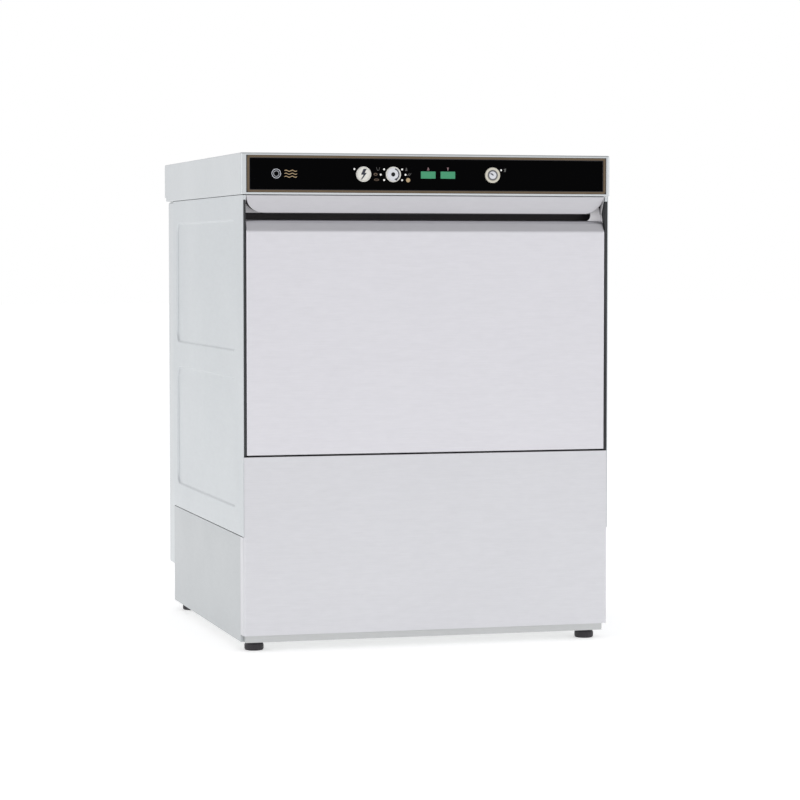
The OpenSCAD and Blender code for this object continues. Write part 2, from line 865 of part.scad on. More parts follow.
// Two strainer trays that lie on the chamber floor over the tank
module tank_filters() {
    z = [chamber_floor, chamber_floor + 4];
    outer = tank_x + 12;
    margin = 10;
    rim = 3;
    length = tank_y[1] - tank_y[0] + 2 * margin;
    color("#a9aeb2") difference() {
        both_sides() translate([1, tank_y[0] - margin, z[0]])
            cube([outer - 1, length, z[1] - z[0]]);
        both_sides() translate([1 + rim, tank_y[0] - margin + rim, z[0] + sheet_t])
            cube([outer - 1 - 2 * rim, length - 2 * rim, z[1] - z[0]]);
        rod_z([z[0] - 1, z[1] + 1], [0, spray_y], pipe_r + 3);
        rod_z([z[0] - 1, z[1] + 1], [sump_x, spray_y], basket_r + 1);
    }
}

// Strainer cup that stands in the right-hand tray
module filter_basket() {
    t = sheet_t;
    at = [sump_x, spray_y];
    foot_z = sump_z + 6;
    rim_z = chamber_floor + t;
    color("#9ca2a6") difference() {
        union() {
            rod_z([foot_z, rim_z], at, basket_r);
            rod_z([rim_z, rim_z + t], at, basket_r + 5);
        }
        rod_z([foot_z + t, rim_z + 5], at, basket_r - t);
        rod_z([foot_z - 1, foot_z + 3], at, standpipe_r + 1);
    }
}

// Standpipe that sets the water level and plugs the sump
module overflow_pipe() {
    at = [sump_x, spray_y];
    top = chamber_floor;
    color("#3a3d40") difference() {
        union() {
            rod_z([sump_z + sheet_t, top - 4], at, standpipe_r);
            rod_z([top - 6, top], at, standpipe_r + 4);
        }
        rod_z([sump_z, top + 8], at, standpipe_r - 3);
    }
}

// Hairpin heating element on a flange in the tank's left wall
module tank_heater() {
    z = tank_z + 30;
    bend = [-40, -80];
    bend_r = 20;
    rod = 4;
    flange_t = 3;
    color("#7a7f84") {
        for (dy = [-bend_r, bend_r])
            rod_x([-tank_x + flange_t, bend[0]], [bend[1] + dy, z], rod);
        translate([bend[0], bend[1], z])
            rotate([0, 0, -90]) rotate_extrude(angle = 180) translate([bend_r, 0]) circle(rod);
        rod_x([-tank_x, -tank_x + flange_t], [bend[1], z], bend_r + 8);
    }
}

// Stepped post that both lower spray arms turn on, with its feed pipe
module lower_spindle() {
    top = lower_hub_z;
    at = [0, spray_y];
    color("#a9aeb2") {
        rod_z([spindle_z, top], at, pipe_r - bore_gap);
        rod_z([top - 1, top + 21], at, post_r);
        rod_z([top + 20, top + 38], at, tip_r);
        rod_z([top + 37.5, top + 43], at, 9);
    }
}

// Spray arm: a flat round-ended tube with a bored hub and a row of nozzles
module spray_arm(hub_z, hub, bore, reach, width, tube_z, up) {
    tube_h = tube_z[1] - tube_z[0];
    end = reach - width / 2;
    difference() {
        union() {
            translate([0, spray_y, tube_z[0]]) {
                translate([-end, -width / 2, 0]) cube([2 * end, width, tube_h]);
                for (x = [-end, end]) translate([x, 0, 0]) cylinder(r = width / 2, h = tube_h);
            }
            rod_z(hub_z, [0, spray_y], hub);
            for (x = [-end : end / 4 : end])
                translate([x, spray_y, tube_z[up] - 1]) cylinder(r = width / 4, h = 2);
        }
        rod_z([hub_z[0] - 1, hub_z[1] + 1], [0, spray_y], bore);
    }
}

module lower_wash_arm() {
    z = lower_hub_z + 0.5;
    color("#b4b9bd")
        spray_arm([z, z + 19.5], 22, post_r + bore_gap, wash_arm_r, 34, [z + 3, z + 16], 1);
}

module lower_rinse_arm() {
    z = lower_hub_z + 21.5;
    color("#b4b9bd") rotate_about_spray(90)
        spray_arm([z, z + 15], 13, tip_r + bore_gap, rinse_arm_r, 16, [z + 3, z + 11], 1);
}

module rotate_about_spray(angle) {
    translate([0, spray_y, 0]) rotate([0, 0, angle]) translate([0, -spray_y, 0]) children();
}

// Flat duct on the chamber ceiling, with the stepped post of the upper arms
module ceiling_duct() {
    t = sheet_t;
    half = 40;
    z = [duct_z - 6, chamber_top];
    at = [0, spray_y];
    hub = upper_hub_z;
    length = chamber_rear_y - spray_y + half;
    color("#a9aeb2") {
        difference() {
            translate([-half, spray_y - half, z[0]]) cube([2 * half, length, z[1] - z[0]]);
            translate([-half + t, spray_y - half + t, z[0] + t])
                cube([2 * (half - t), length, z[1] - z[0] - 2 * t]);
        }
        rod_z([hub, z[0] + 0.5], at, 20);
        rod_z([hub - 18, hub + 1], at, post_r);
        rod_z([hub - 35, hub - 17], at, tip_r);
        rod_z([hub - 38, hub - 33], at, 9);
    }
}

module upper_wash_arm() {
    z = upper_hub_z - 17.5;
    color("#b4b9bd")
        spray_arm([z, z + 17], 22, post_r + bore_gap, wash_arm_r, 34, [z + 2, z + 14], 0);
}

module upper_rinse_arm() {
    z = upper_hub_z - 32.5;
    color("#b4b9bd") rotate_about_spray(90)
        spray_arm([z, z + 14], 13, tip_r + bore_gap, rinse_arm_r, 16, [z + 3, z + 10], 0);
}

// ---------------------------------------------------------------- pipes and pumps

// Pipe from the pump to the lower spindle, and up the back to the ceiling duct
module riser_pipe() {
    bend = 26;
    socket = 4;
    under = main_z - pipe_r - 4;
    low = [0, riser_y - bend, main_z + bend];
    high = [0, riser_y - bend, duct_z - bend];
    color("#8b9095") {
        rod_z([under, spindle_z], [0, spray_y], pipe_r + 3);
        rod_y([spray_y, low[1] + socket], [0, main_z], pipe_r);
        pipe_elbow(low, -90, bend);
        rod_z([low[2] - socket, high[2] + socket], [0, riser_y], pipe_r);
        pipe_elbow(high, 0, bend);
        rod_y([chamber_rear_y + sheet_t, high[1] + socket], [0, duct_z], 4.5);
        rod_z([under, main_z], [0, outlet_y], pipe_r - 1);
    }
}

// Quarter elbow in the plane X = 0, from the angle given, about a centre
module pipe_elbow(centre, start, bend) {
    translate(centre)
        rotate([90, 0, 90])
        rotate([0, 0, start])
        rotate_extrude(angle = 90) translate([bend, 0]) circle(pipe_r + 3);
}

module wash_pump_housing() {
    at = [pump_y, pump_z];
    half = 24;
    wall = 4;
    port_r = 14;
    inlet_x = half + 30;
    color("#3b3e42") difference() {
        union() {
            rod_x([-half, half], at, volute_r);
            rod_x([half, inlet_x], at, port_r + 3);
            rod_z([pump_z, main_z - pipe_r - 4], [0, outlet_y], port_r + wall);
            rod_x([-half - wall, -half], at, volute_r - 6);
        }
        rod_x([-half + wall, half - wall], at, volute_r - 2 * wall);
        rod_x([half - wall - 1, inlet_x + 1], at, port_r);
        rod_x([-half - wall - 1, -half + wall + 1], at, shaft_r + 0.1);
        rod_z([pump_z + 20, main_z], [0, outlet_y], port_r);
    }
}

module wash_pump_motor() {
    at = [pump_y, pump_z];
    x = [-215, -30];
    fin = 10;
    foot = [x[1] - x[0] - 40, 70, pump_z - motor_r - plinth_z + 10];
    capacitor_box = [70, 80, 26];
    color("#4a5560") {
        difference() {
            union() {
                rod_x(x, at, motor_r - 4);
                for (start = [x[0] + fin : 2 * fin : x[1] - 2 * fin])
                    rod_x([start, start + fin], at, motor_r);
                translate([x[0] + 20, pump_y - foot[1] / 2, plinth_z]) cube(foot);
            }
            rod_x([x[1] - 10, x[1] + 1], at, shaft_r + 0.5);
        }
        translate([x[0] + 40, pump_y - capacitor_box[1] / 2, pump_z + motor_r - 8])
            cube(capacitor_box);
    }
}

// Open impeller: a disc with straight blades, on the motor shaft
module pump_impeller() {
    at = [pump_y, pump_z];
    disc_x = [-16, -12];
    blade = [18, 40, 3];
    blade_start = 12;
    color("#8b9095") {
        rod_x([-39, 12], at, shaft_r);
        rod_x(disc_x, at, 55);
        for (a = [0 : 45 : 315])
            translate([disc_x[1] - 0.5, pump_y, pump_z]) rotate([a, 0, 0])
                translate([0, blade_start, -blade[2] / 2]) cube(blade);
    }
}

// Waste pump on a foot in the base: pump head, motor, and its two ports
module drain_pump() {
    y = -140;
    z = 60;
    at = [y, z];
    head_x = [20, 60];
    head_r = 32;
    port_r = 10;
    foot = [40, 50, 8];
    color("#e5e3da") {
        rod_x(head_x, at, head_r);
        rod_x([head_x[1], head_x[1] + 40], at, head_r - 8);
        rod_x([head_x[0] - 16, head_x[0]], at, port_r);
        rod_y([y + head_r - 2, drain_pump_port_y], [(head_x[0] + head_x[1]) / 2, z], port_r);
        translate([head_x[0], y - foot[1] / 2, plinth_z]) cube(foot);
    }
}

// Rinse water boiler with its heater flange and terminals
module boiler() {
    at = [boiler_x, boiler_z];
    end_r = boiler_r - 12;
    cap = 6;
    flange = 8;
    front = boiler_y[0] - cap;
    rear = boiler_y[1] + cap;
    color("#b0b5b8") {
        rod_y(boiler_y, at, boiler_r);
        rod_y([front, boiler_y[0]], at, end_r);
        rod_y([boiler_y[1], rear], at, end_r);
        rod_y([front - flange, front], at, 32);
        for (dx = [-16, 16]) rod_y([front - flange - 12, front - flange], at + [dx, 0], 3);
        rod_y([rear, rear + 12], at + [-45, 30], 8);
    }
}

// Booster pump for the rinse: pump head, motor, and its port to the boiler
module rinse_pump() {
    at = [190, 66];
    head_y = [50, 70];
    motor_y = [head_y[1], head_y[1] + 80];
    port_r = 8;
    foot = [60, 60, 10];
    color("#5c666e") {
        rod_y(head_y, at, 30);
        rod_y(motor_y, at, 36);
        rod_y([motor_y[1], motor_y[1] + port_r], at, 14);
        rod_z([at[1] + 24, 128], [at[0], head_y[0] + 10], port_r);
        translate([at[0] - foot[0] / 2, motor_y[0] + 10, plinth_z]) cube(foot);
    }
}

// Inlet valve, waste spigot and cable gland in the rear plate of the base
module water_connections() {
    back = plate_y + sheet_t;
    valve = [valve_x, valve_z];
    drain = [drain_x, valve_z];
    gland = [gland_x, valve_z];
    thread_r = 13.2;
    spigot_r = 11;
    cable_bore = 6;
    collar_r = 18;
    color("#c8b06a") {
        difference() {
            union() {
                rod_y([plate_y - 30, back + 22], valve, thread_r);
                rod_y([back, back + 4], valve, collar_r);
            }
            rod_y([back - 6, back + 23], valve, 8);
        }
        difference() {
            union() {
                rod_y([plate_y - 40, back + 38], drain, spigot_r);
                rod_y([back, back + 3], drain, collar_r);
            }
            rod_y([plate_y - 41, back + 39], drain, spigot_r - 2.5);
        }
        difference() {
            union() {
                rod_y([plate_y - 10, back], gland, cable_bore + 3.5);
                rod_y([back, back + 6], gland, cable_bore + 9);
                rod_y([back + 6, back + 22], gland, cable_bore + 6.5);
            }
            rod_y([plate_y - 11, back + 23], gland, cable_bore);
        }
    }
}

// Detergent and rinse-aid pumps on a plate behind the front panel
module dosing_pumps() {
    y = [-290, -240];
    z = 150;
    plate = [170, 3, 90];
    case = [56, 22, 56];
    color("#33373b") {
        translate([-280, y[1], z - plate[2] / 2]) cube(plate);
        for (x = [-240, -150]) {
            translate([x - case[0] / 2, y[1] - case[1], z - case[2] / 2]) cube(case);
            rod_y([y[0], y[1] - case[1]], [x, z], 24);
        }
    }
}

// Closed box with a cable window, and a row of relays on its outer wall
module electrical_box() {
    wall = 2;
    corner = [-294, -180, 40];
    size = [54, 240, 134];
    relay = [34, 40, 70];
    color("#9ea5ab") difference() {
        translate(corner) cube(size);
        translate(corner + [wall, wall, wall]) cube(size - 2 * [wall, wall, wall]);
        translate(corner + [size[0] - 5, 30, 20]) cube([10, 30, 20]);
    }
    color("#2a2d30") for (k = [0 : 3])
        translate(corner + [wall + 0.1, 20 + 52 * k, 50]) cube(relay);
}

// Hoses between the sump, the pumps, the boiler and the connections
module water_hoses() {
    suction = [
        [56, pump_y, pump_z], [72, pump_y, pump_z], [88, 108, 106], [94, 80, 122],
        [95, 40, 145], [95, 8, 168], [95, spray_y, 184], [95, spray_y, 199.5]
    ];
    drain = [
        [40, -89, 60], [40, -60, 60], [10, -20, 60], [-60, 0, 60], [-150, 10, 45], [-218, 60, 35],
        [-226, 150, 36], [-204, 195, 48], [-200, 214, 50]
    ];
    inlet = [
        [valve_x, plate_y - 31, valve_z], [200, 205, 52], [190, 190, 66], [170, 182, 100],
        [158, 120, 140], [155, 60, 142], [155, 40, 142]
    ];
    color("#2e3033") {
        sweep(spline(suction, 4), 14);
        sweep(spline(drain, 4), 9);
        sweep(spline(inlet, 4), 7);
    }
}

base_frame();
foot_front_left();
foot_front_right();
foot_rear_left();
foot_rear_right();
front_lower_panel();
left_base_panel();
right_base_panel();
left_side_panel();
right_side_panel();
rear_base_plate();
rear_cover();
cover_spacers();
panel_screws();
top_cover();
fascia_bezel();
fascia_glass();
temperature_displays();
indicator_lights();
control_board();
power_button();
program_button();
start_button();
front_frame();
door_gasket();
door_edge_strips();
hinge_brackets();
spring_brackets();
door_skin();
door_liner();
handle_lip();
handle_grip();
hinge_pins();
hinge_quadrants();
spring_rods();
door_springs();
wash_chamber();
rack_rails();
wash_tank();
tank_filters();
filter_basket();
overflow_pipe();
tank_heater();
lower_spindle();
lower_wash_arm();
lower_rinse_arm();
ceiling_duct();
upper_wash_arm();
upper_rinse_arm();
riser_pipe();
wash_pump_housing();
wash_pump_motor();
pump_impeller();
drain_pump();
boiler();
rinse_pump();
water_connections();
dosing_pumps();
electrical_box();
water_hoses();
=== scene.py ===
import json
import math

import bmesh
import bpy
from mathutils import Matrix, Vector
from mathutils.geometry import tessellate_polygon


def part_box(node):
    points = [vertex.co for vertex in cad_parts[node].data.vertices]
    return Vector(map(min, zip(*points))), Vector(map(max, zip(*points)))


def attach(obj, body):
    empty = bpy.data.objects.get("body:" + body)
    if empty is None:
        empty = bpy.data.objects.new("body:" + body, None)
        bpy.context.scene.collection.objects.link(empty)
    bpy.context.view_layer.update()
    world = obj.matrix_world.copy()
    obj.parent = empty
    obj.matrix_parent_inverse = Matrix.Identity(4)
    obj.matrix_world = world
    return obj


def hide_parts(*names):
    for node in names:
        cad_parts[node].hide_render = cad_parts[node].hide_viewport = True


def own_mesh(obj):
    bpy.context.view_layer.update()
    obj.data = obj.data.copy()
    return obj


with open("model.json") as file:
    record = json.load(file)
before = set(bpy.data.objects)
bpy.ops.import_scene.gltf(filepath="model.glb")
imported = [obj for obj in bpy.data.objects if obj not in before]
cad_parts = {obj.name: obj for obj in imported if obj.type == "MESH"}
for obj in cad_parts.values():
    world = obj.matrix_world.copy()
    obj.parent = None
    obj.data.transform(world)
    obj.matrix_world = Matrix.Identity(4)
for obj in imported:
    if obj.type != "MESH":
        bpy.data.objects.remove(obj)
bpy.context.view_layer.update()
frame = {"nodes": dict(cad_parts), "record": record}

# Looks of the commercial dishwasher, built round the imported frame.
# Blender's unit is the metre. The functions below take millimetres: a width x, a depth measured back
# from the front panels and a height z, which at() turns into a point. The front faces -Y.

MM = 0.001
FRONT_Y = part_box("left_side_panel")[0].y


def extent(node):
    """Lowest and highest x, depth and z of a CAD node, in millimetres."""
    low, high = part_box(node)
    shift = Vector((0, FRONT_Y, 0))
    return (low - shift) / MM, (high - shift) / MM


def at(x, depth, z):
    return Vector((x * MM, FRONT_Y + depth * MM, z * MM))


BACKWARD = (0, 1, 0)
SHEET = 1.2
SIDE_X = extent("right_side_panel")[1].x
DOOR_X = extent("door_skin")[1].x
DOOR_Z = extent("door_skin")[0].z
LIP_X = extent("handle_lip")[1].x
LIP_TOP = extent("handle_lip")[1].z
# The groove under the handle: where the door's face starts to curve in, then (depth, z) of the
# floor it reaches. Then (depth, z) of the handle's lower edge and the radius of its corners.
GROOVE_Z = 659
GROOVE_FLOOR = (15.2, 677)
LIP_TIP = (15.8, 688)
LIP_R = 30
# How far the dark strip of painted shade stands behind the handle's face.
SHADE_STRIP_D = 2.1
GUSSET_D = 27
SPRAY_DEPTH = 311


# --- camera, light and floor

def link(thing):
    bpy.context.scene.collection.objects.link(thing)
    return thing


def aim(thing, direction):
    """Turns a camera or a light to look along the direction."""
    thing.rotation_mode = "QUATERNION"
    thing.rotation_quaternion = direction.to_track_quat("-Z", "Y")


def mesh_object(name, verts, faces):
    mesh = bpy.data.meshes.new(name)
    mesh.from_pydata(verts, [], faces)
    return link(bpy.data.objects.new(name, mesh))


def make_camera():
    """A long lens, a little left of the machine and tilted down slightly."""
    yaw, pitch = math.radians(15.38), math.radians(-3.02)
    data = bpy.data.cameras.new("camera")
    data.sensor_width = 36.0
    data.lens = 123.64
    data.clip_end = 100.0
    camera = link(bpy.data.objects.new("camera", data))
    camera.location = (-1.1962, -4.4991, 0.6220)
    level = math.cos(pitch)
    aim(camera, Vector((math.sin(yaw) * level, math.cos(yaw) * level, math.sin(pitch))))
    bpy.context.scene.camera = camera


def make_world():
    """A white studio: what metal mirrors is brightest at eye level and greyer above and below."""
    world = bpy.data.worlds.new("studio")
    bpy.context.scene.world = world
    bpy.context.scene.view_settings.view_transform = "Standard"
    world.use_nodes = True
    nodes, join = world.node_tree.nodes, world.node_tree.links.new
    studio = nodes["Background"]
    backdrop = nodes.new("ShaderNodeBackground")
    backdrop.inputs["Color"].default_value = (1.0, 1.0, 1.0, 1.0)
    place = nodes.new("ShaderNodeTexCoord")
    split = nodes.new("ShaderNodeSeparateXYZ")
    ramp = nodes.new("ShaderNodeValToRGB")
    height = nodes.new("ShaderNodeMapRange")
    height.inputs["From Min"].default_value = -1.0
    join(place.outputs["Generated"], split.inputs[0])
    join(split.outputs["Z"], height.inputs["Value"])
    join(height.outputs["Result"], ramp.inputs["Fac"])
    stops = ((0.0, 0.70), (0.44, 0.86), (0.52, 1.0), (0.62, 0.98), (0.80, 0.66), (1.0, 0.38))
    while len(ramp.color_ramp.elements) < len(stops):
        ramp.color_ramp.elements.new(0.5)
    for element, (position, level) in zip(ramp.color_ramp.elements, stops):
        element.position = position
        element.color = (level, level, level * 1.01, 1.0)
    join(ramp.outputs["Color"], studio.inputs["Color"])
    rays = nodes.new("ShaderNodeLightPath")
    mix = nodes.new("ShaderNodeMixShader")
    join(rays.outputs["Is Camera Ray"], mix.inputs["Fac"])
    join(studio.outputs[0], mix.inputs[1])
    join(backdrop.outputs[0], mix.inputs[2])
    join(mix.outputs[0], nodes["World Output"].inputs["Surface"])


def area_light(name, place, size, power, colour=(1.0, 1.0, 1.0)):
    """A square light, aimed at the middle of the machine."""
    data = bpy.data.lights.new(name, "AREA")
    data.shape = "RECTANGLE"
    data.size = data.size_y = size
    data.energy = power
    data.color = colour
    light = link(bpy.data.objects.new(name, data))
    light.location = place
    aim(light, Vector((0.0, 0.0, 0.4)) - Vector(place))


def make_lights():
    area_light("top_light", (-0.4, -0.2, 3.6), 2.0, 8.0)
    area_light("left_light", (-3.4, -2.2, 1.8), 1.6, 9.0, (1.0, 0.99, 0.97))
    area_light("right_light", (3.2, -1.4, 1.4), 1.6, 6.0, (0.96, 0.98, 1.0))


def make_floor():
    n = Nodes("floor_paper")
    n.set(Roughness=0.9, Emission_Strength=0.46)
    n.set(Emission_Color=(1.0, 1.0, 1.0, 1.0))
    n.colour(n.noise(1.5), (0.93, 0.93, 0.93), (0.95, 0.95, 0.95))
    size = 30.0
    corners = [(-size, -size, 0), (size, -size, 0), (size, size, 0), (-size, size, 0)]
    floor = mesh_object("floor", corners, [(0, 1, 2, 3)])
    floor.data.materials.append(n.material)


# --- materials

# How much a texture is squeezed along x, y and z: the direction in which it runs.
ACROSS, BACK, UPRIGHT, EVEN = (0.02, 1, 1), (1, 0.02, 1), (1, 1, 0.02), (1, 1, 1)
LOOKS = {}


def fill(node, values):
    """Sets inputs of a node, with _ for the blanks in their names."""
    for key, value in values.items():
        node.inputs[key.replace("_", " ")].default_value = value
    return node


class Nodes:
    """A material's node tree, with short ways to add to it."""

    def __init__(self, name):
        self.material = bpy.data.materials.new(name)
        self.material.use_nodes = True
        LOOKS[name] = self.material
        self.tree = self.material.node_tree
        self.shader = self.tree.nodes["Principled BSDF"]
        self.place = self.add("ShaderNodeTexCoord").outputs["Object"]

    def add(self, kind, **values):
        return fill(self.tree.nodes.new(kind), values)

    def link(self, start, end):
        self.tree.links.new(start, end)

    def set(self, **values):
        fill(self.shader, values)

    def noise(self, scale, stretch=EVEN, detail=2.0, roughness=0.5):
        mapping = self.add("ShaderNodeMapping", Scale=stretch)
        self.link(self.place, mapping.inputs["Vector"])
        noise = self.add("ShaderNodeTexNoise", Scale=scale, Detail=detail, Roughness=roughness)
        self.link(mapping.outputs["Vector"], noise.inputs["Vector"])
        return noise.outputs["Fac"]

    def spread(self, factor, low, high, start=0.3, end=0.7):
        """Maps a factor to a number between low and high."""
        node = self.add("ShaderNodeMapRange", From_Min=start, From_Max=end, To_Min=low, To_Max=high)
        self.link(factor, node.inputs["Value"])
        return node.outputs["Result"]

    def together(self, one, two, share=0.5):
        """Blends two factors."""
        node = self.add("ShaderNodeMix", Factor=share)
        self.link(one, node.inputs["A"])
        self.link(two, node.inputs["B"])
        return node.outputs["Result"]

    def colour(self, factor, dark, light, start=0.3, end=0.7):
        ramp = self.add("ShaderNodeValToRGB")
        ramp.color_ramp.elements[0].position = start
        ramp.color_ramp.elements[0].color = (*dark, 1.0)
        ramp.color_ramp.elements[1].position = end
        ramp.color_ramp.elements[1].color = (*light, 1.0)
        self.link(factor, ramp.inputs["Fac"])
        self.link(ramp.outputs["Color"], self.shader.inputs["Base Color"])

    def roughness(self, factor, low, high):
        self.link(self.spread(factor, low, high), self.shader.inputs["Roughness"])

    def bump(self, height, distance):
        node = self.add("ShaderNodeBump", Distance=distance * MM)
        self.link(height, node.inputs["Height"])
        self.link(node.outputs["Normal"], self.shader.inputs["Normal"])


def shade(colour, factor):
    return tuple(min(1.0, c * factor) for c in colour)


def brushed(name, colour, roughness, grain=ACROSS, bump=0.010, lines=0.035, smudge=0.05, metal=1.0):
    """Satin-brushed stainless steel: fine lines, long faint streaks, and hand marks in the gloss."""
    n = Nodes(name)
    n.set(Metallic=metal)
    fine = n.noise(1400.0, grain, 3.0, 0.65)
    streak = n.noise(170.0, tuple(0.3 if g < 1 else 1 for g in grain), 2.0)
    marks = n.noise(6.0, EVEN, 4.0, 0.6)
    n.colour(n.together(fine, streak, 0.4), shade(colour, 1 - lines), shade(colour, 1 + lines))
    n.roughness(n.together(marks, fine, 0.3), roughness - smudge, roughness + smudge)
    n.bump(fine, bump)


def moulded(name, colour, roughness, grain=2600.0, bump=0.02, coat=0.0):
    """Moulded plastic, rubber or paint: a fine texture and slight clouds in the colour."""
    n = Nodes(name)
    n.set(Coat_Weight=coat, Coat_Roughness=0.12)
    fine = n.noise(grain)
    n.colour(n.noise(18.0, EVEN, 3.0), shade(colour, 0.85), shade(colour, 1.12))
    n.roughness(fine, roughness - 0.06, roughness + 0.08)
    n.bump(fine, bump)


def gloss(name, colour, roughness=0.08, ior=1.5, glow=0.0, level=0.5):
    """Polished plastic, or glass with print behind it: faint waviness and dust."""
    n = Nodes(name)
    n.set(IOR=ior, Specular_IOR_Level=level)
    dust = n.noise(260.0, EVEN, 4.0, 0.7)
    n.colour(dust, shade(colour, 0.96), shade(colour, 1.06), 0.4, 0.8)
    n.roughness(dust, roughness, roughness + 0.06)
    n.bump(n.noise(12.0, EVEN, 1.0), 0.004)
    if glow:
        n.set(Emission_Color=(*colour, 1.0), Emission_Strength=glow)


def make_materials():
    brushed("front_steel", (0.694, 0.687, 0.722), 0.36)
    # Lower front panel steel: the door's steel a little darker, painted shade.
    brushed("lower_panel_steel_painted_shade", (0.655, 0.655, 0.682), 0.36)
    # Handle steel: the door's steel made darker, painted shade of the handle's down-facing slant.
    brushed("lip_steel_painted_shade", (0.54, 0.535, 0.56), 0.33)
    # Side steel: darker and bluer than the front steel, painted shade of the side faces.
    brushed("side_steel", (0.602, 0.63, 0.647), 0.38, BACK)
    # Base panel steel: darker again, painted shade low down by the floor.
    brushed("base_steel_painted_shade", (0.512, 0.533, 0.545), 0.38, BACK)
    brushed("plinth_steel", (0.555, 0.565, 0.565), 0.45)
    # Cheek and pocket-end steel: lighter and only partly metallic, painted light so these walls in
    # shade read light.
    brushed("inner_steel_painted_light", (0.76, 0.75, 0.77), 0.65, metal=0.4)
    # Lid and rear pan steel: darker and bluer than the front steel, painted shade.
    brushed("cover_steel", (0.612, 0.637, 0.65), 0.36)
    brushed("chamber_steel", (0.62, 0.64, 0.65), 0.27, UPRIGHT, smudge=0.09)
    brushed("bracket_steel", (0.48, 0.50, 0.52), 0.42, BACK, 0.02)
    brushed("spring_steel", (0.55, 0.56, 0.58), 0.25, BACK, 0.01, 0.06)
    brushed("arm_steel", (0.64, 0.66, 0.67), 0.22, ACROSS, 0.005)
    brushed("filter_steel", (0.55, 0.57, 0.58), 0.30)
    brushed("boiler_steel", (0.60, 0.62, 0.63), 0.33, BACK)
    brushed("heater_steel", (0.38, 0.33, 0.29), 0.38, ACROSS, 0.01, 0.10)
    brushed("bronze_trim", (0.150, 0.113, 0.076), 0.36, ACROSS, 0.01, 0.12)
    brushed("brass_fitting", (0.60, 0.43, 0.18), 0.28, BACK, 0.01, 0.07)
    brushed("galvanised", (0.52, 0.54, 0.56), 0.40, UPRIGHT, 0.01, 0.08)
    gloss("black_glass", (0.0006, 0.0006, 0.0008), 0.06, 1.12, level=0.25)
    gloss("display_green", (0.05, 0.25, 0.13), 0.3, 1.3, 0.22)
    gloss("lamp_white", (0.80, 0.80, 0.78), 0.2, 1.5, 0.2)
    gloss("key_white", (0.74, 0.73, 0.68), 0.25)
    gloss("key_plate", (0.68, 0.69, 0.73), 0.28)
    gloss("key_cream", (0.62, 0.59, 0.50), 0.28)
    gloss("key_ring", (0.13, 0.13, 0.14), 0.3)
    gloss("ink_black", (0.005, 0.005, 0.007), 0.3, 1.3)
    gloss("ink_slate", (0.035, 0.038, 0.055), 0.3, 1.3)
    # The tan and white prints also glow faintly: painted light on printed ink.
    gloss("ink_tan", (0.42, 0.31, 0.18), 0.35, 1.3, 0.08)
    gloss("ink_white", (0.62, 0.64, 0.69), 0.35, 1.3, 0.08)
    gloss("ink_dim", (0.10, 0.10, 0.095), 0.35, 1.3)
    gloss("ink_brown", (0.12, 0.085, 0.06), 0.35, 1.3)
    gloss("ink_pink", (0.24, 0.15, 0.16), 0.35, 1.3)
    moulded("black_plastic", (0.024, 0.021, 0.026), 0.5)
    # grip_plastic: near-black plastic, painted shade in the handle's pocket, behind the handle's edge
    # and in the gap round the bezel.
    moulded("grip_plastic", (0.028, 0.024, 0.029), 0.55)
    moulded("seal_rubber", (0.026, 0.028, 0.031), 0.62, 1800.0, 0.03)
    moulded("hose_rubber", (0.022, 0.022, 0.024), 0.6, 1800.0, 0.03)
    moulded("board_green", (0.015, 0.12, 0.045), 0.35, coat=0.5)
    moulded("pump_plastic", (0.035, 0.038, 0.042), 0.5)
    moulded("motor_paint", (0.06, 0.08, 0.11), 0.4, 900.0, 0.03, 0.4)
    moulded("white_plastic", (0.70, 0.69, 0.64), 0.42)


# --- mesh building

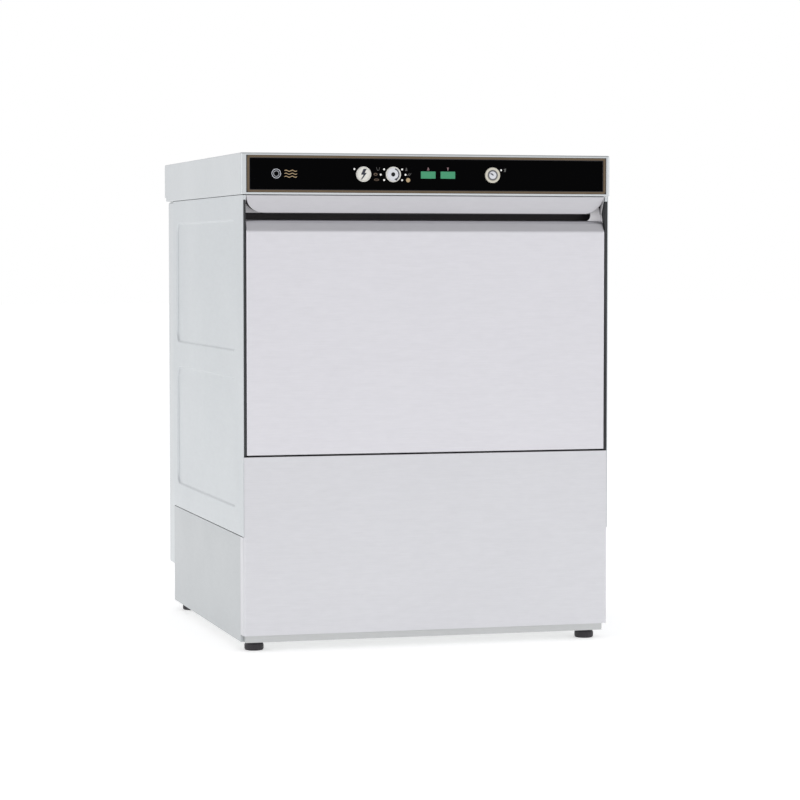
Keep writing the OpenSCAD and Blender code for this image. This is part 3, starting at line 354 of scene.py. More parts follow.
class Form:
    """Collects vertices and faces, then becomes one piece."""

    def __init__(self):
        self.verts = []
        self.faces = []

    def add(self, verts, faces):
        start = len(self.verts)
        self.verts.extend(verts)
        self.faces.extend(tuple(start + i for i in face) for face in faces)

    def loft(self, loops, first=False, last=False, around=False):
        """Skin between closed loops of equal length, with caps, or joined round to the first."""
        n = len(loops[0])
        rows = list(range(len(loops)))
        faces = []
        for a, b in zip(rows, rows[1:] + ([0] if around else [])):
            for k in range(n):
                j = (k + 1) % n
                faces.append((a * n + k, a * n + j, b * n + j, b * n + k))
        if first:
            faces.append(tuple(reversed(range(n))))
        if last:
            faces.append(tuple((len(loops) - 1) * n + k for k in range(n)))
        self.add([p for loop in loops for p in loop], faces)

    def box(self, x, depth, z):
        flat = [(x[0], depth[0]), (x[1], depth[0]), (x[1], depth[1]), (x[0], depth[1])]
        self.loft([[at(u, v, h) for u, v in flat] for h in z], True, True)

    def lathe(self, profile, centre, axis=(0, 0, 1), sides=48):
        """Turns (radius, distance along the axis) points round an axis through the centre."""
        turn = Vector((0, 0, 1)).rotation_difference(Vector(axis)).to_matrix()
        loops = []
        for radius, along in profile:
            spokes = [(math.cos(a), math.sin(a)) for a in turns(sides)]
            loops.append([
                centre + turn @ (Vector((radius * c, radius * s, along)) * MM) for c, s in spokes
            ])
        self.loft(loops, profile[0][0] > 0, profile[-1][0] > 0)

    def sweep(self, path, radius, sides=12):
        """A tube along a path of points. radius is a number, or one for each point."""
        normal = (path[1] - path[0]).orthogonal().normalized()
        loops = []
        for i, p in enumerate(path):
            ahead = (path[min(i + 1, len(path) - 1)] - path[max(i - 1, 0)]).normalized()
            normal = (normal - ahead * normal.dot(ahead)).normalized()
            side = ahead.cross(normal)
            r = (radius[i] if isinstance(radius, list) else radius) * MM
            loops.append([p + r * (math.cos(a) * normal + math.sin(a) * side) for a in turns(sides)])
        self.loft(loops, True, True)

    def face(self, rings, place, w):
        """Flat face inside the first ring, open inside the others."""
        triangles = tessellate_polygon([[Vector((u, v, 0)) for u, v in ring] for ring in rings])
        points = [place(u, v, w) for ring in rings for u, v in ring]
        self.add(points, [tuple(t) for t in triangles])

    def plate(self, outline, holes, place, low, high):
        """A flat plate with holes. place(u, v, w) gives the point; w runs from low to high."""
        rings = [outline, *holes]
        for w in (low, high):
            self.face(rings, place, w)
        for ring in rings:
            self.loft([[place(u, v, w) for u, v in ring] for w in (low, high)])

    def strip(self, chain, thickness, half_width):
        """Sheet bent along a chain of (depth, z) points, with its back on the chain's left.
        half_width(i) gives half of its width at each point of the chain."""
        loops = []
        for i, p in enumerate(chain):
            before = (p - chain[i - 1]) if i > 0 else (chain[1] - p)
            after = (chain[i + 1] - p) if i < len(chain) - 1 else before
            left = Vector((-before.y, before.x)).normalized()
            left += Vector((-after.y, after.x)).normalized()
            q = p + left * (2 * thickness / left.length_squared)
            half = half_width(i)
            loops.append([at(-half, *p), at(half, *p), at(half, *q), at(-half, *q)])
        self.loft(loops, True, True)

    def pressed(self, outline, fields, place, sink, blend, radius, thickness):
        """Sheet with rounded fields pressed in softly. w, the third number of place, goes inwards."""
        for layer in (0, thickness):
            rims = []
            for low, high in fields:
                loops = []
                for k in range(9):
                    inset = blend * (k / 8 - 0.5)
                    ring = rounded_rect((low[0] + inset, low[1] + inset),
                                        (high[0] - inset, high[1] - inset), radius - inset, 8)
                    loops.append([place(u, v, layer + sink * smoothstep(k / 8)) for u, v in ring])
                    if k == 0:
                        rims.append(ring)
                self.loft(loops, False, True)
            self.face([outline, *rims], place, layer)
        self.loft([[place(u, v, w) for u, v in outline] for w in (0, thickness)])

    def perforated(self, cells, place, thickness, hole, keep=lambda u, v: True):
        """Square cells with a round hole in each. place(u, v, w) takes u and v in cells."""
        spokes = [(math.cos(a), math.sin(a)) for a in turns(8)]
        square = [(c / max(abs(c), abs(s)), s / max(abs(c), abs(s))) for c, s in spokes]
        for i in range(cells[0]):
            for j in range(cells[1]):
                u, v = i + 0.5, j + 0.5
                if not keep(u, v):
                    continue
                edge = [(u + 0.5 * c, v + 0.5 * s) for c, s in square]
                rim = [(u + hole * c, v + hole * s) for c, s in spokes]
                layers = ((edge, 0), (rim, 0), (rim, thickness), (edge, thickness))
                self.loft([[place(a, b, w) for a, b in ring] for ring, w in layers])

    def piece(self, name, body, slot, replaces=(), look=None, smooth=35, bevel=0.0):
        """Makes the mesh object, with its surface, its material and the body that it rides on."""
        piece = mesh_object(name, self.verts, self.faces)
        mesh = piece.data
        work = bmesh.new()
        work.from_mesh(mesh)
        bmesh.ops.remove_doubles(work, verts=work.verts, dist=2e-6)
        bmesh.ops.dissolve_degenerate(work, dist=1e-6, edges=work.edges)
        bmesh.ops.recalc_face_normals(work, faces=work.faces)
        for edge in work.edges:
            edge.smooth = edge.is_manifold and edge.calc_face_angle() < math.radians(smooth)
        work.to_mesh(mesh)
        work.free()
        mesh.materials.append(LOOKS[look or slot])
        mesh.polygons.foreach_set("use_smooth", [True] * len(mesh.polygons))
        if bevel:
            soften(piece, bevel)
        flatten(piece)
        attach(piece, body)
        if replaces:
            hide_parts(*replaces)
        return piece


def soften(piece, width, segments=2):
    """Eases the hard edges of a piece."""
    edge = piece.modifiers.new("edge", "BEVEL")
    edge.width = width * MM
    edge.segments = segments
    edge.limit_method = "ANGLE"
    edge.angle_limit = math.radians(38)
    edge.harden_normals = True


def flatten(piece):
    """Keeps the shading of large flat faces flat up to their rounded edges."""
    normals = piece.modifiers.new("normals", "WEIGHTED_NORMAL")
    normals.keep_sharp = True
    normals.weight = 90


def turns(steps):
    return [2 * math.pi * k / steps for k in range(steps)]


def smoothstep(t):
    t = min(1.0, max(0.0, t))
    return t * t * (3 - 2 * t)


def arc(centre, radius, start, end, steps=8):
    """Points of an arc, with its angles in degrees."""
    angles = [math.radians(start + (end - start) * k / steps) for k in range(steps + 1)]
    return [(centre[0] + radius * math.cos(a), centre[1] + radius * math.sin(a)) for a in angles]


def rounded_rect(low, high, radius, steps=6):
    """Outline of a rectangle with round corners, anticlockwise from its lower right corner."""
    (x0, y0), (x1, y1) = low, high
    return (
        arc((x1 - radius, y0 + radius), radius, -90, 0, steps)
        + arc((x1 - radius, y1 - radius), radius, 0, 90, steps)
        + arc((x0 + radius, y1 - radius), radius, 90, 180, steps)
        + arc((x0 + radius, y0 + radius), radius, 180, 270, steps)
    )


def inset_rect(low, high, inset, radius, steps=6):
    """Rounded rectangle in x and z, a distance inside the box from low to high."""
    return rounded_rect((low.x + inset, low.z + inset), (high.x - inset, high.z - inset),
                        radius, steps)


def mirrored(sign, inner, outer):
    """The x range between two distances from the middle: sign -1 for the left, 1 for the right."""
    return sorted((sign * inner, sign * outer))


def circle(centre, radius, sides=32):
    return arc(centre, radius, 0, 360 - 360 / sides, sides - 1)


def filleted(points, radius, steps=5):
    """A chain of points with its inner corners rounded."""
    points = [Vector(p) for p in points]
    chain = [points[0]]
    for before, corner, after in zip(points, points[1:], points[2:]):
        one, two = (before - corner).normalized(), (after - corner).normalized()
        half = one.angle(two) / 2
        reach = min(radius / math.tan(half), 0.48 * (before - corner).length,
                    0.48 * (after - corner).length)
        size = reach * math.tan(half)
        middle = corner + (one + two).normalized() * (size / math.sin(half))
        start, end = corner + one * reach - middle, corner + two * reach - middle
        turn = start.angle(end)
        for k in range(steps + 1):
            a = math.sin((1 - k / steps) * turn) / math.sin(turn)
            b = math.sin(k / steps * turn) / math.sin(turn)
            chain.append(middle + start * a + end * b)
    chain.append(points[-1])
    return chain


def facing_front(x=0, z=0):
    """place() for shapes drawn facing the front: u to the right, v up, w back."""
    return lambda u, v, w: at(x + u, w, z + v)


# --- cabinet

def side_panels():
    """Outer side sheets with two softly pressed fields, their folded edges and a corner tab."""
    seam, gap, fold_w, tab_w, tab_d, tab_h = 0.8, 0.1, 13.8, 4.0, 14, 7.5
    fields = [((53, 225), (549, 428)), ((53, 472), (549, 676))]
    sink, blend, radius = 2.6, 4, 20
    inner = SIDE_X - SHEET
    for side, sign in (("left", -1), ("right", 1)):
        node = side + "_side_panel"
        low, high = extent(node)
        high.z -= seam
        low.z += seam
        sheet = Form()
        sheet.pressed(
            rounded_rect((low.y, low.z), (high.y, high.z), 0.8, 3), fields,
            lambda u, v, w: at(sign * (SIDE_X - w), u, v), sink, blend, radius, SHEET)
        # The side sheets' darker, bluer steel is painted shade.
        sheet.piece(side + "_side_sheet", "cabinet", "side_steel", [node], smooth=40)
        fold = Form()
        edge = mirrored(sign, inner - fold_w, inner)
        tab = mirrored(sign, inner - tab_w, inner)
        fold.box(edge, (60, high.y - gap), (high.z - SHEET, high.z - gap))
        fold.box(edge, (high.y - SHEET, high.y - gap), (low.z + 0.4, high.z - SHEET))
        fold.box(tab, (0.4, tab_d), (high.z - tab_h, high.z - gap))
        fold.piece(side + "_side_folds", "cabinet", "side_steel", bevel=0.3)


def top_cover():
    """Lid with rounded edges, a hem underneath and the window for the control panel."""
    low, high = extent("top_cover")
    corner, crown, hem = 4, 2.6, 18

    def section(t):
        """Points (inset, z) of the lid from its hem to its top, t inside its outer face."""
        if t:
            under = [(hem, low.z + t), (SHEET, low.z + t)]
        else:
            under = [(hem, low.z)] + arc((SHEET, low.z + SHEET), SHEET, 270, 180, 4)
        return under + arc((crown, high.z - crown), crown - t, 180, 90, 6)

    shell = []
    for inset, z in section(0) + list(reversed(section(SHEET))):
        ring = rounded_rect((low.x + inset, low.y + inset), (high.x - inset, high.y - inset),
                            max(corner - inset, 0.6))
        shell.append([at(x, d, z) for x, d in ring])
    form = Form()
    half = len(section(0))
    form.loft(shell[:half], False, True)
    form.loft(shell[half:], True, False)
    form.loft([shell[0], shell[-1]])
    # The lid's darker, bluer steel is painted shade.
    cover = form.piece("top_cover_shell", "cabinet", "cover_steel", ["top_cover"])
    cuts = Form()
    window_low, window_high = extent("fascia_bezel")
    clear, step_z = 9, low.z + 7
    rear = extent("rear_cover")[1].y + 0.5
    cuts.box((window_low.x, window_high.x), (-20, 15), (window_low.z, window_high.z))
    cuts.box((low.x - clear, high.x + clear), (rear, high.y + clear), (low.z - clear, step_z))
    cutter = mesh_object("lid_cutter", cuts.verts, cuts.faces)
    cut = cover.modifiers.new("cuts", "BOOLEAN")
    cut.object = cutter
    cut.operation = "DIFFERENCE"
    cut.solver = "EXACT"
    apply_modifiers(cover)
    bpy.data.objects.remove(cutter)
    cover.data.set_sharp_from_angle(angle=math.radians(35))
    flatten(cover)


def apply_modifiers(piece):
    """Gives the piece its final mesh and drops the modifiers."""
    bpy.context.view_layer.update()
    graph = bpy.context.evaluated_depsgraph_get()
    mesh = bpy.data.meshes.new_from_object(piece.evaluated_get(graph))
    piece.modifiers.clear()
    piece.data = mesh


def rear_cover():
    """Pan over the pipes at the back, with rolled edges and a stack of louvres."""
    low, high = extent("rear_cover")
    roll, corner, slot_x, slot_h = 2.5, 4, 120, 4
    louvres = [200 + 12 * k for k in range(10)]
    slots = [rounded_rect((-slot_x, z), (slot_x, z + slot_h), 1.9, 4) for z in louvres]
    back = Form()
    profile = [(0, low.y)]
    profile += [(roll - b, high.y - roll + a) for a, b in arc((0, 0), roll, 90, 0, 5)]
    loops = [[at(x, depth, z) for x, z in inset_rect(low, high, inset, max(corner - inset, 1.5))]
             for inset, depth in profile]
    back.loft(loops)
    inner = inset_rect(low, high, SHEET, 2.8)
    back.loft([[at(x, d, z) for x, z in inner] for d in (high.y - SHEET, low.y)])
    back.loft([[at(x, low.y, z) for x, z in inner], loops[0]])
    back.plate(inset_rect(low, high, roll, 1.5), slots, facing_front(), high.y - SHEET, high.y)
    # The rear pan shares the lid's darker steel: painted shade.
    back.piece("rear_cover_pan", "cabinet", "cover_steel", ["rear_cover"], smooth=40)
    hoods = Form()
    # Stations along a hood: x, and how far it stands out of the pan there.
    stations = ((-122, 0.35), (-119, 1.6), (-112, 2.4), (112, 2.4), (119, 1.6), (122, 0.35))
    for z in louvres:
        loops = []
        for x, out in stations:
            section = [(-0.4, 7.2), (-0.4, 3.4), (out * 0.4, 3.2), (out * 0.6, 4.6),
                       (out * 0.3, 6.4)]
            loops.append([at(x, high.y + d, z + h) for d, h in section])
        hoods.loft(loops, True, True)
    hoods.piece("rear_louvres", "cabinet", "cover_steel", smooth=60)


def screws():
    """Pan-head screws of the rear cover, each with a cross recess."""
    low, high = extent("panel_screws")
    head_r, arm, recess = 3.8, 2.2, 0.3
    head = [(head_r, 0), (3.7, 0.8), (3.0, 1.6), (1.9, 1.95), (1.7, 1.1), (0, 1.0)]
    form = Form()
    for x in (low.x + head_r, high.x - head_r):
        for z in (100, 300, 500, 695):
            place = at(x, high.y - 2, z)
            form.lathe(head, place, BACKWARD, 24)
            for turn in (0, math.radians(90)):
                form.sweep([at(x + r * math.cos(turn), high.y - recess, z + r * math.sin(turn))
                            for r in (-arm, arm)], 0.35, 6)
            form.lathe([(2, -12), (2, 0.2)], place, BACKWARD, 12)
    form.piece("cover_screws", "cabinet", "spring_steel", ["panel_screws"], smooth=40)


def connections():
    """Threaded water inlet, barbed waste spigot and cable gland at the back of the base."""
    back, height = extent("rear_base_plate")[1].y, 50
    thread = [(13.2 - (0 if k % 2 else 1.1), 4 + 0.9 * k) for k in range(20)]
    barbs = []
    for k in range(5):
        barbs += [(10.0, 5 + 6.4 * k), (11.0, 9.6 + 6.4 * k), (10.0, 10.8 + 6.4 * k)]
    inlet = [(8, -28), (13.2, -28), (13.2, -1), (18, -1), (18, 3.2), (17.2, 4), (12.1, 4),
             *thread, (11.6, 22), (8, 22), (8, -28)]
    spigot = [(8.5, -40), (11, -40), (11, -1), (18, -1), (18, 2.4), (17.4, 3), (10, 3),
              *barbs, (10, 38), (8.5, 38), (8.5, -40)]
    gland = [(6, -10), (9.5, -10), (9.5, 0), (15, 0), (15, 5), (14, 6), (12.5, 6.2), (12.5, 14),
             (11, 20), (8.5, 22), (6, 22), (6, -10)]
    hexagon = [(15, 0.2), (15, 5.4)]
    for name, x, slot, replaced, rings in (
            ("inlet_valve", 200, "brass_fitting", ["water_connections"], [(inlet, 48)]),
            ("waste_spigot", -200, "black_plastic", [], [(spigot, 48)]),
            ("cable_gland", -110, "black_plastic", [], [(gland, 36), (hexagon, 6)])):
        form = Form()
        for profile, sides in rings:
            form.lathe(profile, at(x, back, height), BACKWARD, sides)
        form.piece(name, "cabinet", slot, replaced)


def feet():
    """Round moulded pads with ribs, on threaded studs."""
    pad_profile = [(0, 0), (13.2, 0), (14.4, 0.6), (15, 1.8), (15, 9.4), (14.6, 10.2),
                   (13.8, 10.8), (13.4, 12.2), (12.6, 14.2), (11.8, 14.5), (0, 14.5)]
    ribs, rib_r = 18, 14.75
    thread = [(4.95 if k % 2 else 4.4, 14 + 0.6 * k) for k in range(20)]
    for name in ("foot_front_left", "foot_front_right", "foot_rear_left", "foot_rear_right"):
        low, high = extent(name)
        centre = at((low.x + high.x) / 2, (low.y + high.y) / 2, 0)
        pad = Form()
        pad.lathe(pad_profile, centre)
        for a in turns(ribs):
            spoke = Vector((math.cos(a), math.sin(a), 0)) * rib_r * MM
            pad.sweep([centre + spoke + Vector((0, 0, h * MM)) for h in (2.2, 9)], 0.55, 6)
        pad.piece(name + "_pad", name, "black_plastic", [name])
        stud = Form()
        stud.lathe([(0, 13.8), *thread, (4.2, 26), (0, 26)], centre, sides=24)
        stud.piece(name + "_stud", name, "black_plastic", look="spring_steel")


# --- control panel

def bezel():
    """Bronze border with eased corners, and a thin black ring in the gap round it: painted shade for
    the gap's dark line.
    """
    low, high = extent("fascia_bezel")
    glass = extent("fascia_glass")
    outline = rounded_rect((low.x + 1.6, low.z + 0.5), (high.x - 1.4, high.z - 0.5), 3.0)
    hole = inset_rect(*glass, 0, 1.6, 4)
    border = Form()
    border.plate(outline, [hole], facing_front(), low.y, high.y)
    border.piece("bezel_border", "cabinet", "bronze_trim", ["fascia_bezel"], bevel=0.45)
    # Black ring in the gap round the border: painted shade.
    gap_ring = Form()
    gap_ring.plate(inset_rect(low, high, 0, 1.0), [inset_rect(low, high, 3, 2.0)], facing_front(),
               0.35, 6)
    gap_ring.piece("bezel_gap_shade", "cabinet", "black_plastic", look="grip_plastic")
    lining = Form()
    lining.plate(hole, [inset_rect(*glass, 0.9, 1.2, 4)], facing_front(), 0.7, 1.2)
    lining.piece("glass_seal", "cabinet", "black_plastic", look="grip_plastic")


def key_centre(name):
    low, high = extent(name)
    return (low.x + high.x) / 2, (low.z + high.z) / 2


def key_cap(name, slot, radius, inner, look):
    """Round key with a rolled rim and a dished centre of another shade. Gives its centre."""
    x, z = key_centre(name)
    place = at(x, 0, z)
    rim = Form()
    rim.lathe([(inner, -1.0), (inner + 0.5, -1.6), (inner + 1.3, -1.95), (radius - 1.2, -2.0),
               (radius - 0.4, -1.7), (radius, -1.0), (radius, 4.4), (radius + 1.4, 4.4),
               (radius + 1.4, 6), (3, 6), (3, 12), (0, 12)], place, BACKWARD, 64)
    rim.piece(name + "_cap", name, slot, [name], smooth=40)
    centre = Form()
    centre.lathe([(0, -1.75), (inner * 0.6, -1.62), (inner - 0.3, -1.35), (inner, -0.9),
                  (inner, 1)], place, BACKWARD, 64)
    centre.piece(name + "_centre", name, slot, look=look, smooth=50)
    return x, z


def print_on(name, body, slot, look, shapes, depth, x=0, z=0, thickness=0.12):
    """Flat printed shapes: outlines in millimetres about a point, each with its holes."""
    form = Form()
    for outline, *holes in shapes:
        form.plate(outline, holes, facing_front(x, z), depth - thickness, depth)
    form.piece(name, body, slot, look=look)


def ring(centre, radius, width, start=0, end=360, steps=40):
    """Outline of an arc-shaped band."""
    outer = arc(centre, radius + width / 2, start, end, steps)
    inner = arc(centre, radius - width / 2, end, start, steps)
    return outer + inner


def buttons():
    """Power, program and start keys with their symbols."""
    x, z = key_cap("power_button", "key_white", 12.0, 10.5, "key_white")
    bolt = [(4.6, 8.2), (-0.4, 8.2), (-4.6, -0.6), (-0.5, -1.0), (-4.6, -8.2), (-3.0, -8.2),
            (4.7, 1.9), (1.3, 2.2)]
    print_on("power_symbol", "power_button", "key_white", "ink_slate", [[bolt]], -1.6, x, z, 0.2)
    x, z = key_cap("program_button", "key_white", 12.1, 10.6, "key_plate")
    print_on("program_dot", "program_button", "key_white", "ink_black",
             [[circle((0, 0), 3.3)]], -1.66, x - 0.6, z, 0.2)
    arrow = [(1.4, -7.4), (5.8, -10.0), (6.6, -5.2)]
    print_on("program_arrow", "program_button", "key_white", "ink_slate",
             [[ring((0, 0), 9.0, 1.7, -50, 72)], [arrow]], -1.4, x - 0.4, z, 0.2)
    x, z = key_cap("start_button", "key_cream", 12.3, 8.4, "key_ring")
    middle = Form()
    middle.lathe([(0, -2.0), (3.4, -1.96), (5.4, -1.8), (6.0, -1.5), (6.1, -1.0)],
                 at(x, 0, z), BACKWARD)
    middle.piece("start_button_middle", "start_button", "key_cream", look="key_plate", smooth=50)
    mark = [(-4.8, 2.6), (-1.4, 3.0), (1.6, 0.2), (0.6, -0.8), (-2.8, 1.2)]
    print_on("start_symbol", "start_button", "key_cream", "ink_slate", [[mark]], -1.94, x, z, 0.06)


def lamps():
    """Domed light pipes round the buttons."""
    dome = [(0, 0.5), (0.8, 0.55), (1.3, 0.75), (1.58, 1.1), (1.58, 15)]
    near, far, pitch = 14.6, 20.2, 8.4
    form = Form()
    power_x, row_z = key_centre("power_button")
    program_x = key_centre("program_button")[0]
    start_x = key_centre("start_button")[0]
    row_z -= 0.4
    places = [(power_x - near, row_z + pitch), (start_x + near, row_z + pitch)]
    for side in (-1, 1):
        places += [(program_x + side * (near if row else far), row_z + pitch * row)
                   for row in (-1, 0, 1)]
    for x, z in places:
        form.lathe(dome, at(x, 0, z), BACKWARD, 20)
    form.piece("lamp_domes", "cabinet", "lamp_white", ["indicator_lights"])


def displays():
    """Two lit windows, each with a lighter frame."""
    low, high = extent("temperature_displays")
    width, border = 24, 0.8
    lit, frames = Form(), Form()
    for x in (low.x, high.x - width):
        ends = Vector((x, 0, low.z)), Vector((x + width, 0, high.z))
        inside = inset_rect(*ends, border, 0.5, 3)
        lit.plate(inside, [], facing_front(), 1.0, 14)
        frames.plate(inset_rect(*ends, 0, 0.7, 3), [inside], facing_front(), 0.85, 3)
    lit.piece("display_windows", "cabinet", "display_green", ["temperature_displays"])
    frames.piece("display_frames", "cabinet", "display_green")


def fascia_prints():
    """Small symbols beside the lamps, and a plate with three waves at the left."""
    depth = extent("fascia_glass")[0].y
    program_x, z = key_centre("program_button")
    start_x = key_centre("start_button")[0]
    display_low, display_high = extent("temperature_displays")

    def show(name, look, shapes):
        print_on(name, "cabinet", "black_glass", look, shapes, depth)

    def shape(x, y, points):
        return [(x + u, y + v) for u, v in points]

    def oval(x, y, w, h):
        return [(x + w / 2 * math.cos(a), y + h / 2 * math.sin(a)) for a in turns(20)]

    def wave(x, y, w):
        crest = [(x + w * k / 20, y + 0.9 * math.sin(math.pi * k / 5)) for k in range(21)]
        return crest + [(u, v - 1.1) for u, v in reversed(crest)]

    left, right = program_x - 25.4, program_x + 24.6
    cup = [(-3, 2.5), (-2.4, 2.5), (-1.1, -1.8), (1.1, -1.8), (2.4, 2.5), (3, 2.5), (1.5, -2.5),
           (-1.5, -2.5)]
    show("print_dim", "ink_dim", [
        [shape(left + 0.8, z + 8.4, cup)],
        [shape(right, z, [(1.2, 2), (2.4, 2), (-0.6, -2), (-1.8, -2)])],
        [shape(right, z, [(4.2, 2), (5.2, 2), (2.2, -2), (1.2, -2)])],
        [shape(start_x, z, [(18.4, 9.8), (22.8, 10.8), (22.2, 5.4), (18.8, 5.4), (20.2, 7.6)])],
        [shape(right, z, [(-3.6, 10.6), (-2.6, 10.6), (-1.4, 5.8), (-4.8, 5.8)])],
    ])
    show("print_brown", "ink_brown", [
        [oval(left - 3.2, z, 6.4, 4.4), oval(left - 3.2, z, 3.4, 2.0)],
        [oval(left - 1.6, z - 8.4, 8.6, 3.4), oval(left - 1.6, z - 8.4, 6.4, 1.6)],
    ])
    # The tan ink glows faintly: painted light.
    show("print_tan", "ink_tan", [[circle((right - 0.2, z - 8.8), 3.4, 24)]])
    top = display_high.z + 1.7
    first, second = display_low.x + 12, display_high.x - 12
    funnel = [(-0.7, 0), (0.7, 0), (0.7, 2.6), (1.9, 4.6), (-1.9, 4.6), (-0.7, 2.6)]
    show("print_pink", "ink_pink", [
        [shape(first, top, [(-2, 0), (2, 0), (0.5, 4.6), (-0.5, 4.6)]),
         circle((first, top + 1.5), 0.6, 12)],
        [shape(second, top, funnel)],
    ])
    mark_x = -246
    # The emblem's white and tan inks glow faintly: painted light.
    show("emblem_plate", "ink_white", [
        [circle((mark_x, z), 7.4, 40), circle((mark_x, z), 6.6, 40)],
        [circle((mark_x, z), 4.6), circle((mark_x, z), 4.0)],
    ])
    show("emblem_waves", "ink_tan", [[wave(mark_x + 13, z + dz, 20)] for dz in (-4.2, 0.4, 5.0)])


# --- door

def door_front():
    """Front sheet: rolled side edges, a folded foot and the band that curves in under the handle."""
    steps = filleted([(0, DOOR_Z), (0, GROOVE_Z), (7.4, 672), (11.2, 676.2), GROOVE_FLOOR], 9, 6)
    roll, reach = 2.2, 4
    bend = DOOR_X - roll
    sheet = Form()
    loops = []
    for depth, z in steps:
        axis_d, end = depth + roll, depth + roll + reach
        section = [(-DOOR_X, end)] + arc((-bend, axis_d), roll, 180, 270, 5)
        section += arc((bend, axis_d), roll, 270, 360, 5) + [(DOOR_X, end), (DOOR_X - SHEET, end)]
        section += arc((bend, axis_d), roll - SHEET, 360, 270, 5)
        section += arc((-bend, axis_d), roll - SHEET, 270, 180, 5) + [(-DOOR_X + SHEET, end)]
        loops.append([at(x, d, z) for x, d in section])
    sheet.loft(loops, True, True)
    sheet.piece("door_sheet", "door", "front_steel", ["door_skin"], smooth=40)
    cheeks = Form()
    top, low = LIP_TOP - 0.3, DOOR_Z + 0.4
    cheek = [(5.5, low), (24, low), (24, 655), (48, 655), (48, top - 3), (14, top), (1.6, top),
             LIP_TIP, (11.5, 680), (8.5, 668), (5.5, 655)]
    gusset = [(x, z) for z in (LIP_TIP[1], LIP_TOP - 7.2) for x in (262, 293.2)]
    gusset[2:] = reversed(gusset[2:])
    for sign in (-1, 1):
        cheeks.plate(cheek, [], lambda u, v, w: at(sign * w, u, v),
                     DOOR_X - SHEET + 0.1, DOOR_X - 0.1)
        cheeks.plate([(sign * x, z) for x, z in gusset], [], facing_front(), GUSSET_D, GUSSET_D + 1)
    # The cheeks take a lighter, half-metallic copy of the steel: painted light on walls in shade.
    cheeks.piece("door_cheeks", "door", "front_steel", look="inner_steel_painted_light", bevel=0.3)
    foot = Form()
    for x in ((-282.8, 282.8), (-DOOR_X + 1.4, -291.2), (291.2, DOOR_X - 1.4)):
        foot.box(x, (0.6, 23.9), (DOOR_Z + 0.1, DOOR_Z + SHEET))
    foot.piece("door_foot", "door", "front_steel", bevel=0.3)


def slant():
    """Unit vector up the handle's face, and its length."""
    run = Vector((1, LIP_TOP)) - Vector(LIP_TIP)
    return run.normalized(), run.length


def rounded_end(chain, half, radius):
    """half_width function for a strip whose first end has round corners."""
    def half_width(i):
        along = sum((chain[k + 1] - chain[k]).length for k in range(i))
        if along >= radius:
            return half
        return half - radius + math.sqrt(radius ** 2 - (radius - along) ** 2)
    return half_width


def up_from_tip(start, direction, length, radius):
    """Chain that starts densely, so that a round corner stays smooth."""
    stations = [radius * (1 - math.cos(math.radians(6 * k))) for k in range(15)]
    return [start + direction * s for s in stations if s < length - 4] + [start + direction * length]


def handle():
    """Slanted handle with round lower corners and a rolled top, and a dark strip just behind its
    edge: painted shade that outlines its corners.
    """
    up, length = slant()
    tip, off = Vector(LIP_TIP), Vector((up.y, -up.x)) * SHADE_STRIP_D
    face = up_from_tip(tip, up, length, LIP_R)
    bend = filleted([face[-2], Vector((1, LIP_TOP)), Vector((13, LIP_TOP))], 2.0, 6)
    chain = face[:-1] + bend[1:]
    lip = Form()
    lip.strip(chain, -2, rounded_end(chain, LIP_X, LIP_R))
    # The handle takes a darker copy of the door's steel: painted shade.
    lip.piece("lip_sheet", "door", "front_steel", ["handle_lip"], "lip_steel_painted_shade", 40, 0.4)
    # A near-black strip just behind the handle's edge: painted shade, seen as a dark line round its
    # corners.
    edge = up_from_tip(tip - up * 3 + off, up, length - 4, LIP_R + 8)
    shade_strip = Form()
    shade_strip.strip(edge, -1.1, rounded_end(edge, LIP_X, LIP_R + 8))
    shade_strip.piece("lip_shade_strip", "door", "grip_plastic", ["handle_grip"], smooth=40)
    corner_blocks(up, length, tip + off)
    finger_pocket()


def corner_blocks(up, length, foot):
    """Dark blocks, painted shade, from the back of the handle's round corners to the gussets, at the
    ends of the dark strip.
    """
    corner = [(LIP_X - LIP_R * (1 - math.sin(t)), LIP_R * (1 - math.cos(t)))
              for t in (math.radians(6 * k) for k in range(16))]
    outline = [(x, along) for x, along in corner if along < length - 6]
    inner = LIP_X - LIP_R - 8
    outline += [(LIP_X - 0.3, length - 5), (inner, length - 5), (inner, 0)]
    blocks = Form()
    for sign in (-1, 1):
        front, rear = [], []
        for x, along in outline:
            depth, z = foot + up * along
            front.append(at(sign * x, depth, z))
            rear.append(at(sign * x, GUSSET_D - 0.1, z))
        blocks.loft([front, rear], True, True)
    blocks.piece("shade_strip_ends", "door", "grip_plastic", smooth=30)


